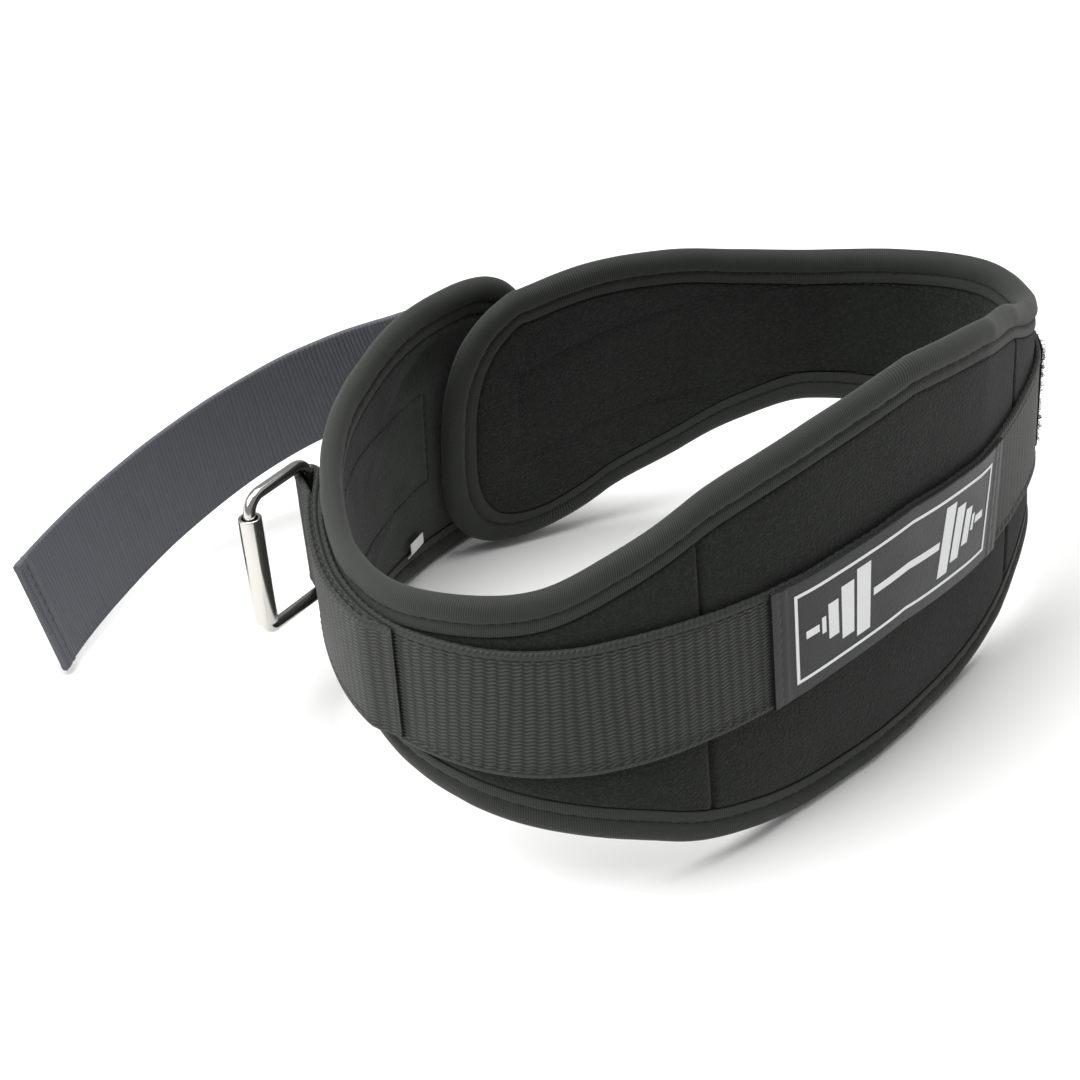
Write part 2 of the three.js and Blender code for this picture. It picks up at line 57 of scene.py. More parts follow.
# Soft pieces are modelled flat, in millimetres: x along the belt from the middle of the back,
# y up across it, z out of its outer face. standUp then puts them in place, in metres.
belt = {
    "strapSide": 386.0,
    "buckleSide": 411.0,
    "thickness": 6.2,
    "upperReach": 75.0,
    "lowerReach": 80.0,
    "endRound": 42.0,
    "upperFullness": 2.4,
    "lowerFullness": 3.2,
    "start": (-4.9275, 93.4665, -0.4074),
    "gap": 0.3,
    # share of the strap's side, heading, lean, height of the lower edge over the floor
    "course": [
        (-1.065, -160, -1, 0.0), (-1.0, -137, -1, 0.0), (-0.92, -127, 1, 0.0),
        (-0.84, -112, 3, 0.03), (-0.76, -98, 5, 0.13), (-0.68, -83.5, 6, 0.28),
        (-0.6, -73, 6, 0.38), (-0.52, -57.5, 4, 0.39), (-0.44, -27.5, -1, 0.36),
        (-0.36, -1, -7, 0.31), (-0.28, 22, -10.5, 0.23), (-0.2, 33, -7.5, 0.09),
        (-0.1, 41, -3.5, 0.0), (0.0, 48, -3, 0.0), (0.1, 56, -2.5, 0.0),
        (0.2, 64, -5.5, 0.12), (0.28, 71, -6.5, 0.28), (0.36, 103, -4.5, 0.4),
        (0.44, 138.5, 1.5, 0.47), (0.52, 170.5, 2, 0.53), (0.6, 187.5, 2.5, 0.55),
        (0.68, 198, 1.5, 0.46), (0.76, 205.5, -0.5, 0.31), (0.84, 208.5, -2, 0.18),
        (0.92, 209, -3, 0.03), (1.0, 210, -4, 0.0),
    ],
    # share either way from the back, upper edge, lower edge
    "profile": [
        (0.0, 1.0, 1.0), (0.1, 0.965, 0.955), (0.2, 0.845, 0.825), (0.28, 0.665, 0.67),
        (0.36, 0.545, 0.55), (0.44, 0.485, 0.48), (0.52, 0.437, 0.416), (0.6, 0.42, 0.392),
        (0.68, 0.476, 0.468), (0.76, 0.58, 0.595), (0.84, 0.665, 0.675), (0.92, 0.715, 0.73),
        (1.0, 0.725, 0.74),
    ],
}


# Value of a table's column along a smooth curve that never overshoots its rows
def smoothColumn(table, column, place):
    rows = np.array(table, float)
    at, value = rows[:, 0], rows[:, column]
    place = np.clip(np.asarray(place, float), at[0], at[-1])
    rise = np.diff(value) / np.diff(at)
    before, after = rise[:-1], rise[1:]
    both = np.where(before + after == 0, 1, before + after)
    inner = np.where(before * after > 0, 2 * before * after / both, 0)
    slope = np.concatenate([[rise[0]], inner, [rise[-1]]])
    row = np.clip(np.searchsorted(at, place) - 1, 0, len(at) - 2)
    span = at[row + 1] - at[row]
    t = (place - at[row]) / span
    return (
        (2 * t**3 - 3 * t**2 + 1) * value[row]
        + (t**3 - 2 * t**2 + t) * span * slope[row]
        + (3 * t**2 - 2 * t**3) * value[row + 1]
        + (t**3 - t**2) * span * slope[row + 1]
    )


# Walks a standing strip in short steps and keeps its frames. Its slope is the mean over a
# reach either way, so that a peak of the height doesn't fan its columns out.
def walkStrip(first, length, start, heading, height, lean, steps=1600, reach=8.0):
    step = length / steps
    distance = first + np.arange(steps + 1) * step
    middle = first + (np.arange(steps) + 0.5) * step
    slopeAt = lambda s: (height(s + reach) - height(s - reach)) / (2 * reach)
    run = np.sqrt(1 - slopeAt(middle) ** 2) * step
    angle = np.radians(heading(middle))
    centre = np.zeros((steps + 1, 3))
    centre[1:, 0] = np.cumsum(np.cos(angle) * run)
    centre[1:, 1] = np.cumsum(np.sin(angle) * run)
    centre[:, :2] += np.array(start)[:2]
    centre[:, 2] = height(distance) + start[2]
    angle = np.radians(heading(distance))
    slope = slopeAt(distance)
    run = np.sqrt(1 - slope**2)
    along = np.stack([np.cos(angle) * run, np.sin(angle) * run, slope], 1)
    level = np.stack([np.sin(angle), -np.cos(angle), 0 * angle], 1)
    upright = np.cross(level, along)
    upright /= np.linalg.norm(upright, axis=1)[:, None]
    tilt = np.radians(lean(distance))[:, None]
    return {
        "first": first,
        "step": step,
        "centre": centre,
        "along": along,
        "across": upright * np.cos(tilt) + level * np.sin(tilt),
        "out": level * np.cos(tilt) - upright * np.sin(tilt),
    }


# Frame of a walk at one or many distances
def frameAt(walk, distance, what):
    table = walk[what]
    place = (np.asarray(distance, float) - walk["first"]) / walk["step"]
    k = np.clip(np.floor(place).astype(int), 0, len(table) - 2)
    t = (place - k)[..., None]
    return table[k] * (1 - t) + table[k + 1] * t


def standing(walk, flat):
    place = frameAt(walk, flat[:, 0], "centre")
    place = place + frameAt(walk, flat[:, 0], "across") * flat[:, 1:2]
    return place + frameAt(walk, flat[:, 0], "out") * flat[:, 2:3]


def upperEdge(share):
    return belt["upperReach"] * smoothColumn(belt["profile"], 1, np.abs(share))


def lowerEdge(share):
    return belt["lowerReach"] * smoothColumn(belt["profile"], 2, np.abs(share))


def beltHeight(s):
    share = s / belt["strapSide"]
    lean = np.radians(smoothColumn(belt["course"], 2, share))
    clear = belt["lowerReach"] * smoothColumn(belt["course"], 3, share)
    return clear + lowerEdge(share) * np.cos(lean)


beltWalk = walkStrip(
    -belt["buckleSide"],
    belt["buckleSide"] + belt["strapSide"],
    belt["start"],
    lambda s: smoothColumn(belt["course"], 1, s / belt["strapSide"]),
    beltHeight,
    lambda s: smoothColumn(belt["course"], 2, s / belt["strapSide"]),
)


def intoEnd(s):
    fromTip = np.minimum(s + belt["buckleSide"], belt["strapSide"] - s)
    return np.clip(1 - fromTip / belt["endRound"], 0, 1)


# A point of the outline drawn in by an inset, on its upper or lower side
def outlineAt(s, inset, upper):
    share, into = s / belt["strapSide"], intoEnd(s)
    top = (upperEdge(share) - inset) * (1 - into ** belt["upperFullness"]).clip(0) ** (
        1 / belt["upperFullness"]
    )
    low = (lowerEdge(share) - inset) * (1 - into ** belt["lowerFullness"]).clip(0) ** (
        1 / belt["lowerFullness"]
    )
    return s - np.sign(s) * inset * into, np.where(upper, top, -low)


# Distances of the columns: even along the belt and closer together round its ends
def beltColumns(alongStep, endColumns, extra=()):
    inEnd = belt["endRound"] * (1 - np.sin(np.linspace(1, 0, endColumns + 1) * math.pi / 2))
    first, last = belt["endRound"] - belt["buckleSide"], belt["strapSide"] - belt["endRound"]
    middle = np.linspace(first, last, int(round((last - first) / alongStep)) + 1)
    middle = middle[1:-1]
    for place in extra:  # finer columns where a seam crosses
        near = place + np.array([-2.6, -1.5, -0.9, -0.45, 0, 0.45, 0.9, 1.5, 2.6])
        middle = np.concatenate([middle[np.abs(middle - place) > 3.4], near])
    return np.concatenate(
        [inEnd - belt["buckleSide"], np.sort(middle), belt["strapSide"] - inEnd[::-1]]
    )


def alone(piece):
    bpy.ops.object.select_all(action="DESELECT")
    bpy.context.view_layer.objects.active = piece
    piece.select_set(True)


def vertexPlaces(piece):
    places = np.empty(len(piece.data.vertices) * 3)
    piece.data.vertices.foreach_get("co", places)
    return places.reshape(-1, 3)


def moveVertices(piece, places):
    piece.data.vertices.foreach_set("co", np.ascontiguousarray(places, np.float32).ravel())
    piece.data.update()


# A grid of columns by rows, shaped by a function of its column and row numbers. The UV map
# "weave" holds each place's own millimetres along and across the cloth.
def shapedGrid(name, columns, rows, place, weave):
    bpy.ops.object.select_all(action="DESELECT")
    bpy.ops.mesh.primitive_grid_add(x_subdivisions=columns, y_subdivisions=rows, size=1)
    piece = bpy.context.object
    piece.name = piece.data.name = name
    start = vertexPlaces(piece)
    column = np.rint((start[:, 0] + 0.5) * columns).astype(int)
    row = np.rint((start[:, 1] + 0.5) * rows).astype(int)
    moveVertices(piece, place(column, row))
    corner = np.empty(len(piece.data.loops), int)
    piece.data.loops.foreach_get("vertex_index", corner)
    layer = piece.data.uv_layers[0]
    layer.name = "weave"
    layer.data.foreach_set("uv", weave(column, row)[corner].astype(np.float32).ravel())
    return piece


# Joins what touches, closes open ends and turns every face outwards
def closeUp(piece, apart=0.004):
    alone(piece)
    bpy.ops.object.mode_set(mode="EDIT")
    bpy.ops.mesh.select_all(action="SELECT")
    bpy.ops.mesh.remove_doubles(threshold=apart)
    bpy.ops.mesh.select_all(action="SELECT")
    bpy.ops.mesh.fill_holes(sides=0)
    bpy.ops.mesh.select_all(action="SELECT")
    bpy.ops.mesh.normals_make_consistent(inside=False)
    bpy.ops.object.mode_set(mode="OBJECT")


def shadeSmooth(piece, angle=50):
    alone(piece)
    bpy.ops.object.shade_smooth_by_angle(angle=math.radians(angle))


def standUp(piece, walk, floor=0.0):
    placed = standing(walk, vertexPlaces(piece)) / 1000
    placed[:, 2] = np.maximum(placed[:, 2], floor)
    moveVertices(piece, placed)
    alone(piece)
    bpy.ops.object.mode_set(mode="EDIT")
    bpy.ops.mesh.select_all(action="SELECT")
    bpy.ops.mesh.normals_make_consistent(inside=False)
    bpy.ops.object.mode_set(mode="OBJECT")
    shadeSmooth(piece)


# Smooth noise along a length, the same on every run
def unevenness(place, scale, seed):
    waves = np.random.default_rng(seed)
    total = 0 * place
    for octave in range(4):
        turn = waves.uniform(0, 2 * math.pi)
        total = total + np.sin(place * 2 * math.pi / scale * (1 + 0.63 * octave) + turn) / (1 + octave)
    return total / 2.1


def softStep(x):
    x = np.clip(x, 0, 1)
    return x * x * (3 - 2 * x)


# Materials


def fromHex(code):
    parts = [int(code[k:k + 2], 16) / 255 for k in (1, 3, 5)]
    return (*[c / 12.92 if c <= 0.04045 else ((c + 0.055) / 1.055) ** 2.4 for c in parts], 1)


# Adds a node: settings go to its inputs by name or number, or else to its own properties
def addNode(tree, kind, settings=None, links=None):
    node = tree.nodes.new(kind)
    for key, value in (settings or {}).items():
        if isinstance(key, int) or key in node.inputs:
            node.inputs[key].default_value = value
        else:
            setattr(node, key, value)
    for key, socket in (links or {}).items():
        tree.links.new(socket, node.inputs[key])
    return node


# A new material with a plain Principled shader, and its tree
def newMaterial(name, base, roughness, **sockets):
    material = bpy.data.materials.new(name)
    material.use_nodes = True
    tree = material.node_tree
    shader = tree.nodes["Principled BSDF"]
    shader.inputs["Base Color"].default_value = fromHex(base)
    shader.inputs["Roughness"].default_value = roughness
    for key, value in sockets.items():
        shader.inputs[key.replace("_", " ")].default_value = value
    return material, tree, shader


def mathNode(tree, operation, *values):
    settings = {"operation": operation}
    links = {}
    for k, value in enumerate(values):
        (settings if isinstance(value, (int, float)) else links)[k] = value
    return addNode(tree, "ShaderNodeMath", settings, links).outputs[0]


# Raises a shader's surface by a height; the distance is in metres
def addBump(tree, shader, strength, distance, height):
    bump = addNode(tree, "ShaderNodeBump", {"Strength": strength, "Distance": distance}, {"Height": height})
    tree.links.new(bump.outputs["Normal"], shader.inputs["Normal"])


# Brushed knit on foam: a napped cloth, so it is matt, with a faint sheen and tiny lint
def brushedKnit():
    material, tree, shader = newMaterial(
        "brushed_knit", "#1a1d1a", 0.95, Specular_IOR_Level=0.1, Sheen_Weight=0.09, Sheen_Roughness=0.6
    )
    place = addNode(tree, "ShaderNodeTexCoord").outputs["Object"]
    weave = addNode(tree, "ShaderNodeUVMap", {"uv_map": "weave"}).outputs["UV"]
    nap = addNode(
        tree, "ShaderNodeTexNoise", {"Scale": 820.0, "Detail": 5.0, "Roughness": 0.72}, {"Vector": place}
    )
    loops = addNode(tree, "ShaderNodeTexVoronoi", {"Scale": 1.1}, {"Vector": weave})  # 0.9 mm knit loops
    cloud = addNode(tree, "ShaderNodeTexNoise", {"Scale": 26.0, "Detail": 4.0}, {"Vector": place})
    tone = addNode(tree, "ShaderNodeValToRGB", {}, {"Fac": cloud.outputs["Fac"]})
    tone.color_ramp.elements[0].position, tone.color_ramp.elements[0].color = 0.3, fromHex("#121512")
    tone.color_ramp.elements[1].position, tone.color_ramp.elements[1].color = 0.72, fromHex("#1b1e1b")
    fleck = addNode(tree, "ShaderNodeMapRange", {1: 0.46, 2: 0.8, 3: 0.0, 4: 0.6}, {0: nap.outputs["Fac"]})
    mixed = addNode(
        tree, "ShaderNodeMix", {"data_type": "RGBA", 7: fromHex("#3a3d3a")}, {
            0: fleck.outputs[0], 6: tone.outputs["Color"]
        }
    )
    # painted light: the inner face towards the buckle's end is lightened in soft patches, a painted pool of
    # light in the knit's colour
    parts = addNode(tree, "ShaderNodeSeparateXYZ", {}, {0: weave})
    atEnd = addNode(tree, "ShaderNodeMapRange", {1: -250.0, 2: -340.0, 3: 0.0, 4: 1.0}, {0: parts.outputs[0]})
    inside = mathNode(tree, "GREATER_THAN", parts.outputs[1], 250)
    paintedLightMask = mathNode(tree, "MULTIPLY", atEnd.outputs[0], inside)
    patch = addNode(
        tree, "ShaderNodeMapRange", {1: 0.35, 2: 0.7, 3: 0.25, 4: 0.75}, {0: cloud.outputs["Fac"]}
    )
    paintedLightMask = mathNode(tree, "MULTIPLY", paintedLightMask, patch.outputs[0])
    # the painted light is mixed into the knit's base colour here
    paintedLightColour = addNode(
        tree, "ShaderNodeMix", {"data_type": "RGBA", 7: fromHex("#3b3f3b")}, {0: paintedLightMask, 6: mixed.outputs[2]}
    )
    tree.links.new(paintedLightColour.outputs[2], shader.inputs["Base Color"])
    height = mathNode(
        tree, "ADD", nap.outputs["Fac"], mathNode(tree, "MULTIPLY", loops.outputs["Distance"], 0.7)
    )
    addBump(tree, shader, 0.8, 0.0004, height)
    return material


# Grosgrain: a plain tape whose ribs run across it, 0.72 mm apart
def grosgrainTape():
    material, tree, shader = newMaterial(
        "grosgrain_tape", "#2c2e2f", 0.8, Specular_IOR_Level=0.25, Sheen_Weight=0.1, Sheen_Roughness=0.5
    )
    weave = addNode(tree, "ShaderNodeUVMap", {"uv_map": "weave"}).outputs["UV"]
    parts = addNode(tree, "ShaderNodeSeparateXYZ", {}, {0: weave})
    rib = mathNode(tree, "SINE", mathNode(tree, "MULTIPLY", parts.outputs[0], 2 * math.pi / 0.72))
    rib = mathNode(tree, "MULTIPLY_ADD", rib, 0.5, 0.5)
    yarn = addNode(tree, "ShaderNodeTexNoise", {"Scale": 2.6, "Detail": 3.0}, {"Vector": weave})
    height = mathNode(tree, "ADD", rib, mathNode(tree, "MULTIPLY", yarn.outputs["Fac"], 0.6))
    # painted light: the colour follows the ribs' height, with painted shade between the ribs and painted
    # highlight on their crowns; the ribs are in the colour only, and the yarn noise adds tone that differs at
    # random
    tone = addNode(
        tree, "ShaderNodeMix",
        {"data_type": "RGBA", 6: fromHex("#121412"), 7: fromHex("#3b3e39")}, {
            0: mathNode(tree, "MULTIPLY", height, 0.62)
        },
    )
    tree.links.new(tone.outputs[2], shader.inputs["Base Color"])
    addBump(tree, shader, 0.5, 0.0003, yarn.outputs["Fac"])
    return material


# Polypropylene webbing: warp cords 1.3 mm apart that wave a little and break at each weft pick, 3.9 mm apart,
# which gives columns of short bright dashes, painted as highlight in the colour. The edges are rolled cords.
def polypropyleneWebbing(name, dark, light, edge, dash, pick, stripe, thin):
    material, tree, shader = newMaterial(
        name, light, 0.6, Specular_IOR_Level=0.3, Sheen_Weight=0.04, Sheen_Roughness=0.4
    )
    weave = addNode(tree, "ShaderNodeUVMap", {"uv_map": "weave"}).outputs["UV"]
    parts = addNode(tree, "ShaderNodeSeparateXYZ", {}, {0: weave})
    stretch = addNode(tree, "ShaderNodeVectorMath", {"operation": "MULTIPLY", 1: (0.3, 0.03, 1)}, {0: weave})
    wander = addNode(
        tree, "ShaderNodeTexNoise", {"Scale": 1.0, "Detail": 3.0}, {"Vector": stretch.outputs[0]}
    )
    along = mathNode(tree, "MULTIPLY_ADD", wander.outputs["Fac"], 2.2, parts.outputs[0])
    wave = mathNode(tree, "SINE", mathNode(tree, "MULTIPLY", along, 2 * math.pi / pick))
    cord = mathNode(tree, "MULTIPLY_ADD", wave, 0.24, parts.outputs[1])
    cord = mathNode(tree, "SINE", mathNode(tree, "MULTIPLY", cord, 2 * math.pi / 1.3))
    cord = mathNode(tree, "MULTIPLY_ADD", cord, 0.5, 0.5)
    column = mathNode(tree, "COSINE", mathNode(tree, "MULTIPLY", along, 2 * math.pi / pick))
    column = mathNode(tree, "MULTIPLY_ADD", column, 0.5, 0.5)
    column = mathNode(tree, "MULTIPLY_ADD", mathNode(tree, "POWER", column, 0.6), stripe, 1 - stripe)
    fibre = addNode(tree, "ShaderNodeTexNoise", {"Scale": 3.4, "Detail": 4.0}, {"Vector": weave})
    height = mathNode(tree, "MULTIPLY_ADD", mathNode(tree, "POWER", cord, thin), dash, 1 - dash)
    height = mathNode(tree, "MULTIPLY", height, column)
    height = mathNode(
        tree, "MULTIPLY_ADD", mathNode(tree, "SUBTRACT", fibre.outputs["Fac"], 0.5), 0.5, height
    )
    # the two selvedges lie 0 to 3.4 mm and 44 to 47.4 mm round the section
    first = mathNode(tree, "LESS_THAN", parts.outputs[1], 3.5)
    second = mathNode(tree, "COMPARE", parts.outputs[1], 46.2, 2.2)
    onEdge = mathNode(tree, "ADD", first, second)
    slant = mathNode(tree, "MULTIPLY_ADD", parts.outputs[1], 0.6, parts.outputs[0])
    twist = mathNode(tree, "SINE", mathNode(tree, "MULTIPLY", slant, 2 * math.pi / 1.9))
    twist = mathNode(tree, "MULTIPLY_ADD", twist, 0.25, 0.55)
    mixed = addNode(tree, "ShaderNodeMix", {"data_type": "FLOAT"}, {0: onEdge, 2: height, 3: twist}).outputs[
        0
    ]
    # painted light: the colour follows the weave's height, with painted shade in the hollows between cords
    # and picks and painted highlight on the cords' dashes and the selvedges' twist; the fibre noise adds tone
    # that differs at random
    tone = addNode(
        tree, "ShaderNodeMix", {"data_type": "RGBA", 6: fromHex(dark), 7: fromHex(light)}, {0: mixed}
    )
    lit = addNode(
        tree, "ShaderNodeMix", {"data_type": "RGBA", 7: fromHex(edge)},
        {0: mathNode(tree, "MULTIPLY", onEdge, twist), 6: tone.outputs[2]},
    )
    tree.links.new(lit.outputs[2], shader.inputs["Base Color"])
    addBump(tree, shader, 0.8, 0.0004, mixed)
    return material


# Coated vinyl: a calendered film with a fine pressed grain and a soft gloss
def grainedVinyl():
    material, tree, shader = newMaterial("grained_vinyl", "#131515", 0.45, Specular_IOR_Level=0.4)
    place = addNode(tree, "ShaderNodeTexCoord").outputs["Object"]
    grain = addNode(tree, "ShaderNodeTexVoronoi", {"Scale": 1100.0, "feature": "F1"}, {"Vector": place})
    fold = addNode(tree, "ShaderNodeTexNoise", {"Scale": 60.0, "Detail": 3.0}, {"Vector": place})
    height = mathNode(tree, "MULTIPLY_ADD", fold.outputs["Fac"], 1.2, grain.outputs["Distance"])
    addBump(tree, shader, 0.3, 0.0003, height)
    rough = addNode(tree, "ShaderNodeMapRange", {3: 0.36, 4: 0.52}, {0: fold.outputs["Fac"]})
    tree.links.new(rough.outputs[0], shader.inputs["Roughness"])
    return material


def plainFinish(name, base, roughness, grit, lift, **sockets):
    material, tree, shader = newMaterial(name, base, roughness, **sockets)
    place = addNode(tree, "ShaderNodeTexCoord").outputs["Object"]
    noise = addNode(tree, "ShaderNodeTexNoise", {"Scale": 1000.0 / grit, "Detail": 3.0}, {"Vector": place})
    low = [c * 0.82 for c in fromHex(base)[:3]] + [1]
    tone = addNode(
        tree, "ShaderNodeMix", {"data_type": "RGBA", 6: low, 7: fromHex(base)}, {0: noise.outputs["Fac"]}
    )
    tree.links.new(tone.outputs[2], shader.inputs["Base Color"])
    addBump(tree, shader, 0.4, lift / 1000, noise.outputs["Fac"])
    return material


# Bright nickel: plated and tumbled, so it mirrors softly with faint haze
def brightNickel():
    material, tree, shader = newMaterial("bright_nickel", "#c9c7c2", 0.16, Metallic=1.0)
    place = addNode(tree, "ShaderNodeTexCoord").outputs["Object"]
    haze = addNode(tree, "ShaderNodeTexNoise", {"Scale": 180.0, "Detail": 4.0}, {"Vector": place})
    rough = addNode(tree, "ShaderNodeMapRange", {3: 0.1, 4: 0.26}, {0: haze.outputs["Fac"]})
    tree.links.new(rough.outputs[0], shader.inputs["Roughness"])
    addBump(tree, shader, 0.08, 0.0002, haze.outputs["Fac"])
    return material


knit = brushedKnit()
tape = grosgrainTape()
webbingCloth = polypropyleneWebbing(
    "polypropylene_webbing", "#0f100e", "#484c45", "#282a26", 0.85, 3.9, 0.7, 1.8
)
strapCloth = polypropyleneWebbing("polypropylene_strap", "#33353a", "#5c5f66", "#505359", 0.2, 1.6, 0.45, 0.8)
vinyl = grainedVinyl()
threadBlack = plainFinish("bonded_nylon_thread", "#2a2c2d", 0.5, 0.4, 0.1, Sheen_Weight=0.1)
threadDark = plainFinish("spun_polyester_thread", "#161716", 0.8, 0.4, 0.1)
printWhite = plainFinish("screen_printed_ink", "#f3f4f4", 0.5, 0.6, 0.05)
pileFibre = plainFinish("nylon_loop_pile", "#121313", 0.85, 0.5, 0.2, Specular_IOR_Level=0.2)
satin = plainFinish("woven_satin", "#e9e8e3", 0.45, 0.3, 0.05, Sheen_Weight=0.2)
nickel = brightNickel()
print("materials: made")


def finishPiece(piece, material, body="belt", nodes=()):
    piece.data.materials.clear()
    piece.data.materials.append(material)
    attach(piece, body)
    if nodes:
        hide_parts(*nodes)


# Stitches: one small bead, repeated along rows

stitch = {"length": 2.7, "gap": 0.9, "width": 0.62, "height": 0.42}


def oneStitch():
    bpy.ops.object.select_all(action="DESELECT")
    bpy.ops.mesh.primitive_uv_sphere_add(segments=6, ring_count=4, radius=0.5)
    bead = bpy.context.object
    bead.data.transform(Matrix.Rotation(math.pi / 2, 4, "Y"))
    bead.data.transform(Matrix.Diagonal((stitch["length"], stitch["width"], stitch["height"], 1)))
    places = vertexPlaces(bead)
    places[:, 2] -= 0.12 * (2 * places[:, 0] / stitch["length"]) ** 2  # its ends dip into the cloth
    faces = [tuple(f.vertices) for f in bead.data.polygons]
    bpy.data.objects.remove(bead)
    return places, faces


beadPlaces, beadFaces = oneStitch()


# Rows are open lines of flat points; beads lie along them at an even pitch
def stitchRows(name, rows, walk, material=None):
    places, faces = [], []
    for row in rows:
        row = np.array(row, float)
        run = np.concatenate([[0], np.cumsum(np.linalg.norm(np.diff(row[:, :2], axis=0), axis=1))])
        count = max(1, int(run[-1] / (stitch["length"] + stitch["gap"])))
        for middle in (np.arange(count) + 0.5) * run[-1] / count:
            here = np.array([np.interp(middle, run, row[:, k]) for k in range(3)])
            ahead = np.array([np.interp(middle + 0.6, run, row[:, k]) for k in range(3)])
            behind = np.array([np.interp(middle - 0.6, run, row[:, k]) for k in range(3)])
            way = (ahead - behind)[:2]
            way = way / max(np.linalg.norm(way), 1e-9)
            turned = np.array([[way[0], way[1], 0], [-way[1], way[0], 0], [0, 0, 1]])
            start = sum(len(p) for p in places)
            places.append(beadPlaces @ turned + here)
            faces += [tuple(start + v for v in f) for f in beadFaces]
    mesh = bpy.data.meshes.new(name)
    mesh.from_pydata(np.concatenate(places).tolist(), [], faces)
    piece = bpy.data.objects.new(name, mesh)
    bpy.context.scene.collection.objects.link(piece)
    standUp(piece, walk)
    finishPiece(piece, material or threadBlack)
    return piece


# Body: foam between two knit faces, sewn along its binding, webbing and back panel

bodyLook = {
    "alongStep": 2.3,
    "endColumns": 22,
    "insets": [1.4, 1.9, 2.6, 6.0, 9.5, 11.6, 12.5, 13.1, 13.8, 14.8, 16.2, 18.0, 20.3, 23.0],
    "edgeDepths": [-3.1, -1.9, -1.45, -1.3, -1.3, -1.3, -0.95, -0.4, -0.16, -0.05, 0, 0, 0, 0],
    "middleRows": 40,
    "puff": 1.25,
    "panelSeam": 84.5,
    "seamRow": 19.05,
    # creases: face (1 outer, -1 inner), from x, y, to x, y, half width, depth
    "creases": [
        (-1, -354, 30, -344, 26, 7.0, -2.2),
        (-1, -360, 36, -330, 22, 3.0, -0.9),
        (-1, -340, 24, -306, 6, 3.4, 0.8),
        (-1, -350, 8, -318, 14, 5.0, -0.7),
        (-1, -338, -14, -300, -30, 3.4, 0.8),
        (-1, -344, -4, -312, -18, 5.0, -0.6),
        (-1, -288, 8, -262, 36, 5.0, -0.7),
        (-1, -300, -34, -270, -10, 5.0, -0.6),
        (-1, -255, -20, -238, 14, 6.0, -0.6),
        (1, 90, 44, 98, 52, 3.2, -1.3),
        (-1, 120, -20, 128, 16, 7.0, -0.7),
        (-1, 150, 10, 157, -18, 7.0, -0.8),
        (-1, 176, -12, 184, 14, 7.0, -0.6),
        (-1, -140, 12, -132, -26, 8.0, -0.5),
        (-1, -172, 18, -166, -16, 7.0, -0.5),
        (-1, 345, -20, 372, -4, 4.0, -0.7),
    ],
    # soft lumps: face, x, y, half width, height
    "lumps": [
        (-1, -386, 22, 9.0, 0.8),
        (-1, 368, -12, 8.0, 0.6),
        (-1, 330, 14, 16.0, 0.35),
        (1, 40, 30, 24.0, 0.35),
        (1, -52, -44, 22.0, 0.4),
        (1, 20, -52, 26.0, 0.3),
        (1, -160, 38, 16.0, 0.3),
    ],
}


def distanceToLine(x, y, fromX, fromY, toX, toY):
    way = np.array([toX - fromX, toY - fromY], float)
    t = np.clip(((x - fromX) * way[0] + (y - fromY) * way[1]) / (way @ way), 0, 1)
    return np.hypot(x - fromX - t * way[0], y - fromY - t * way[1])


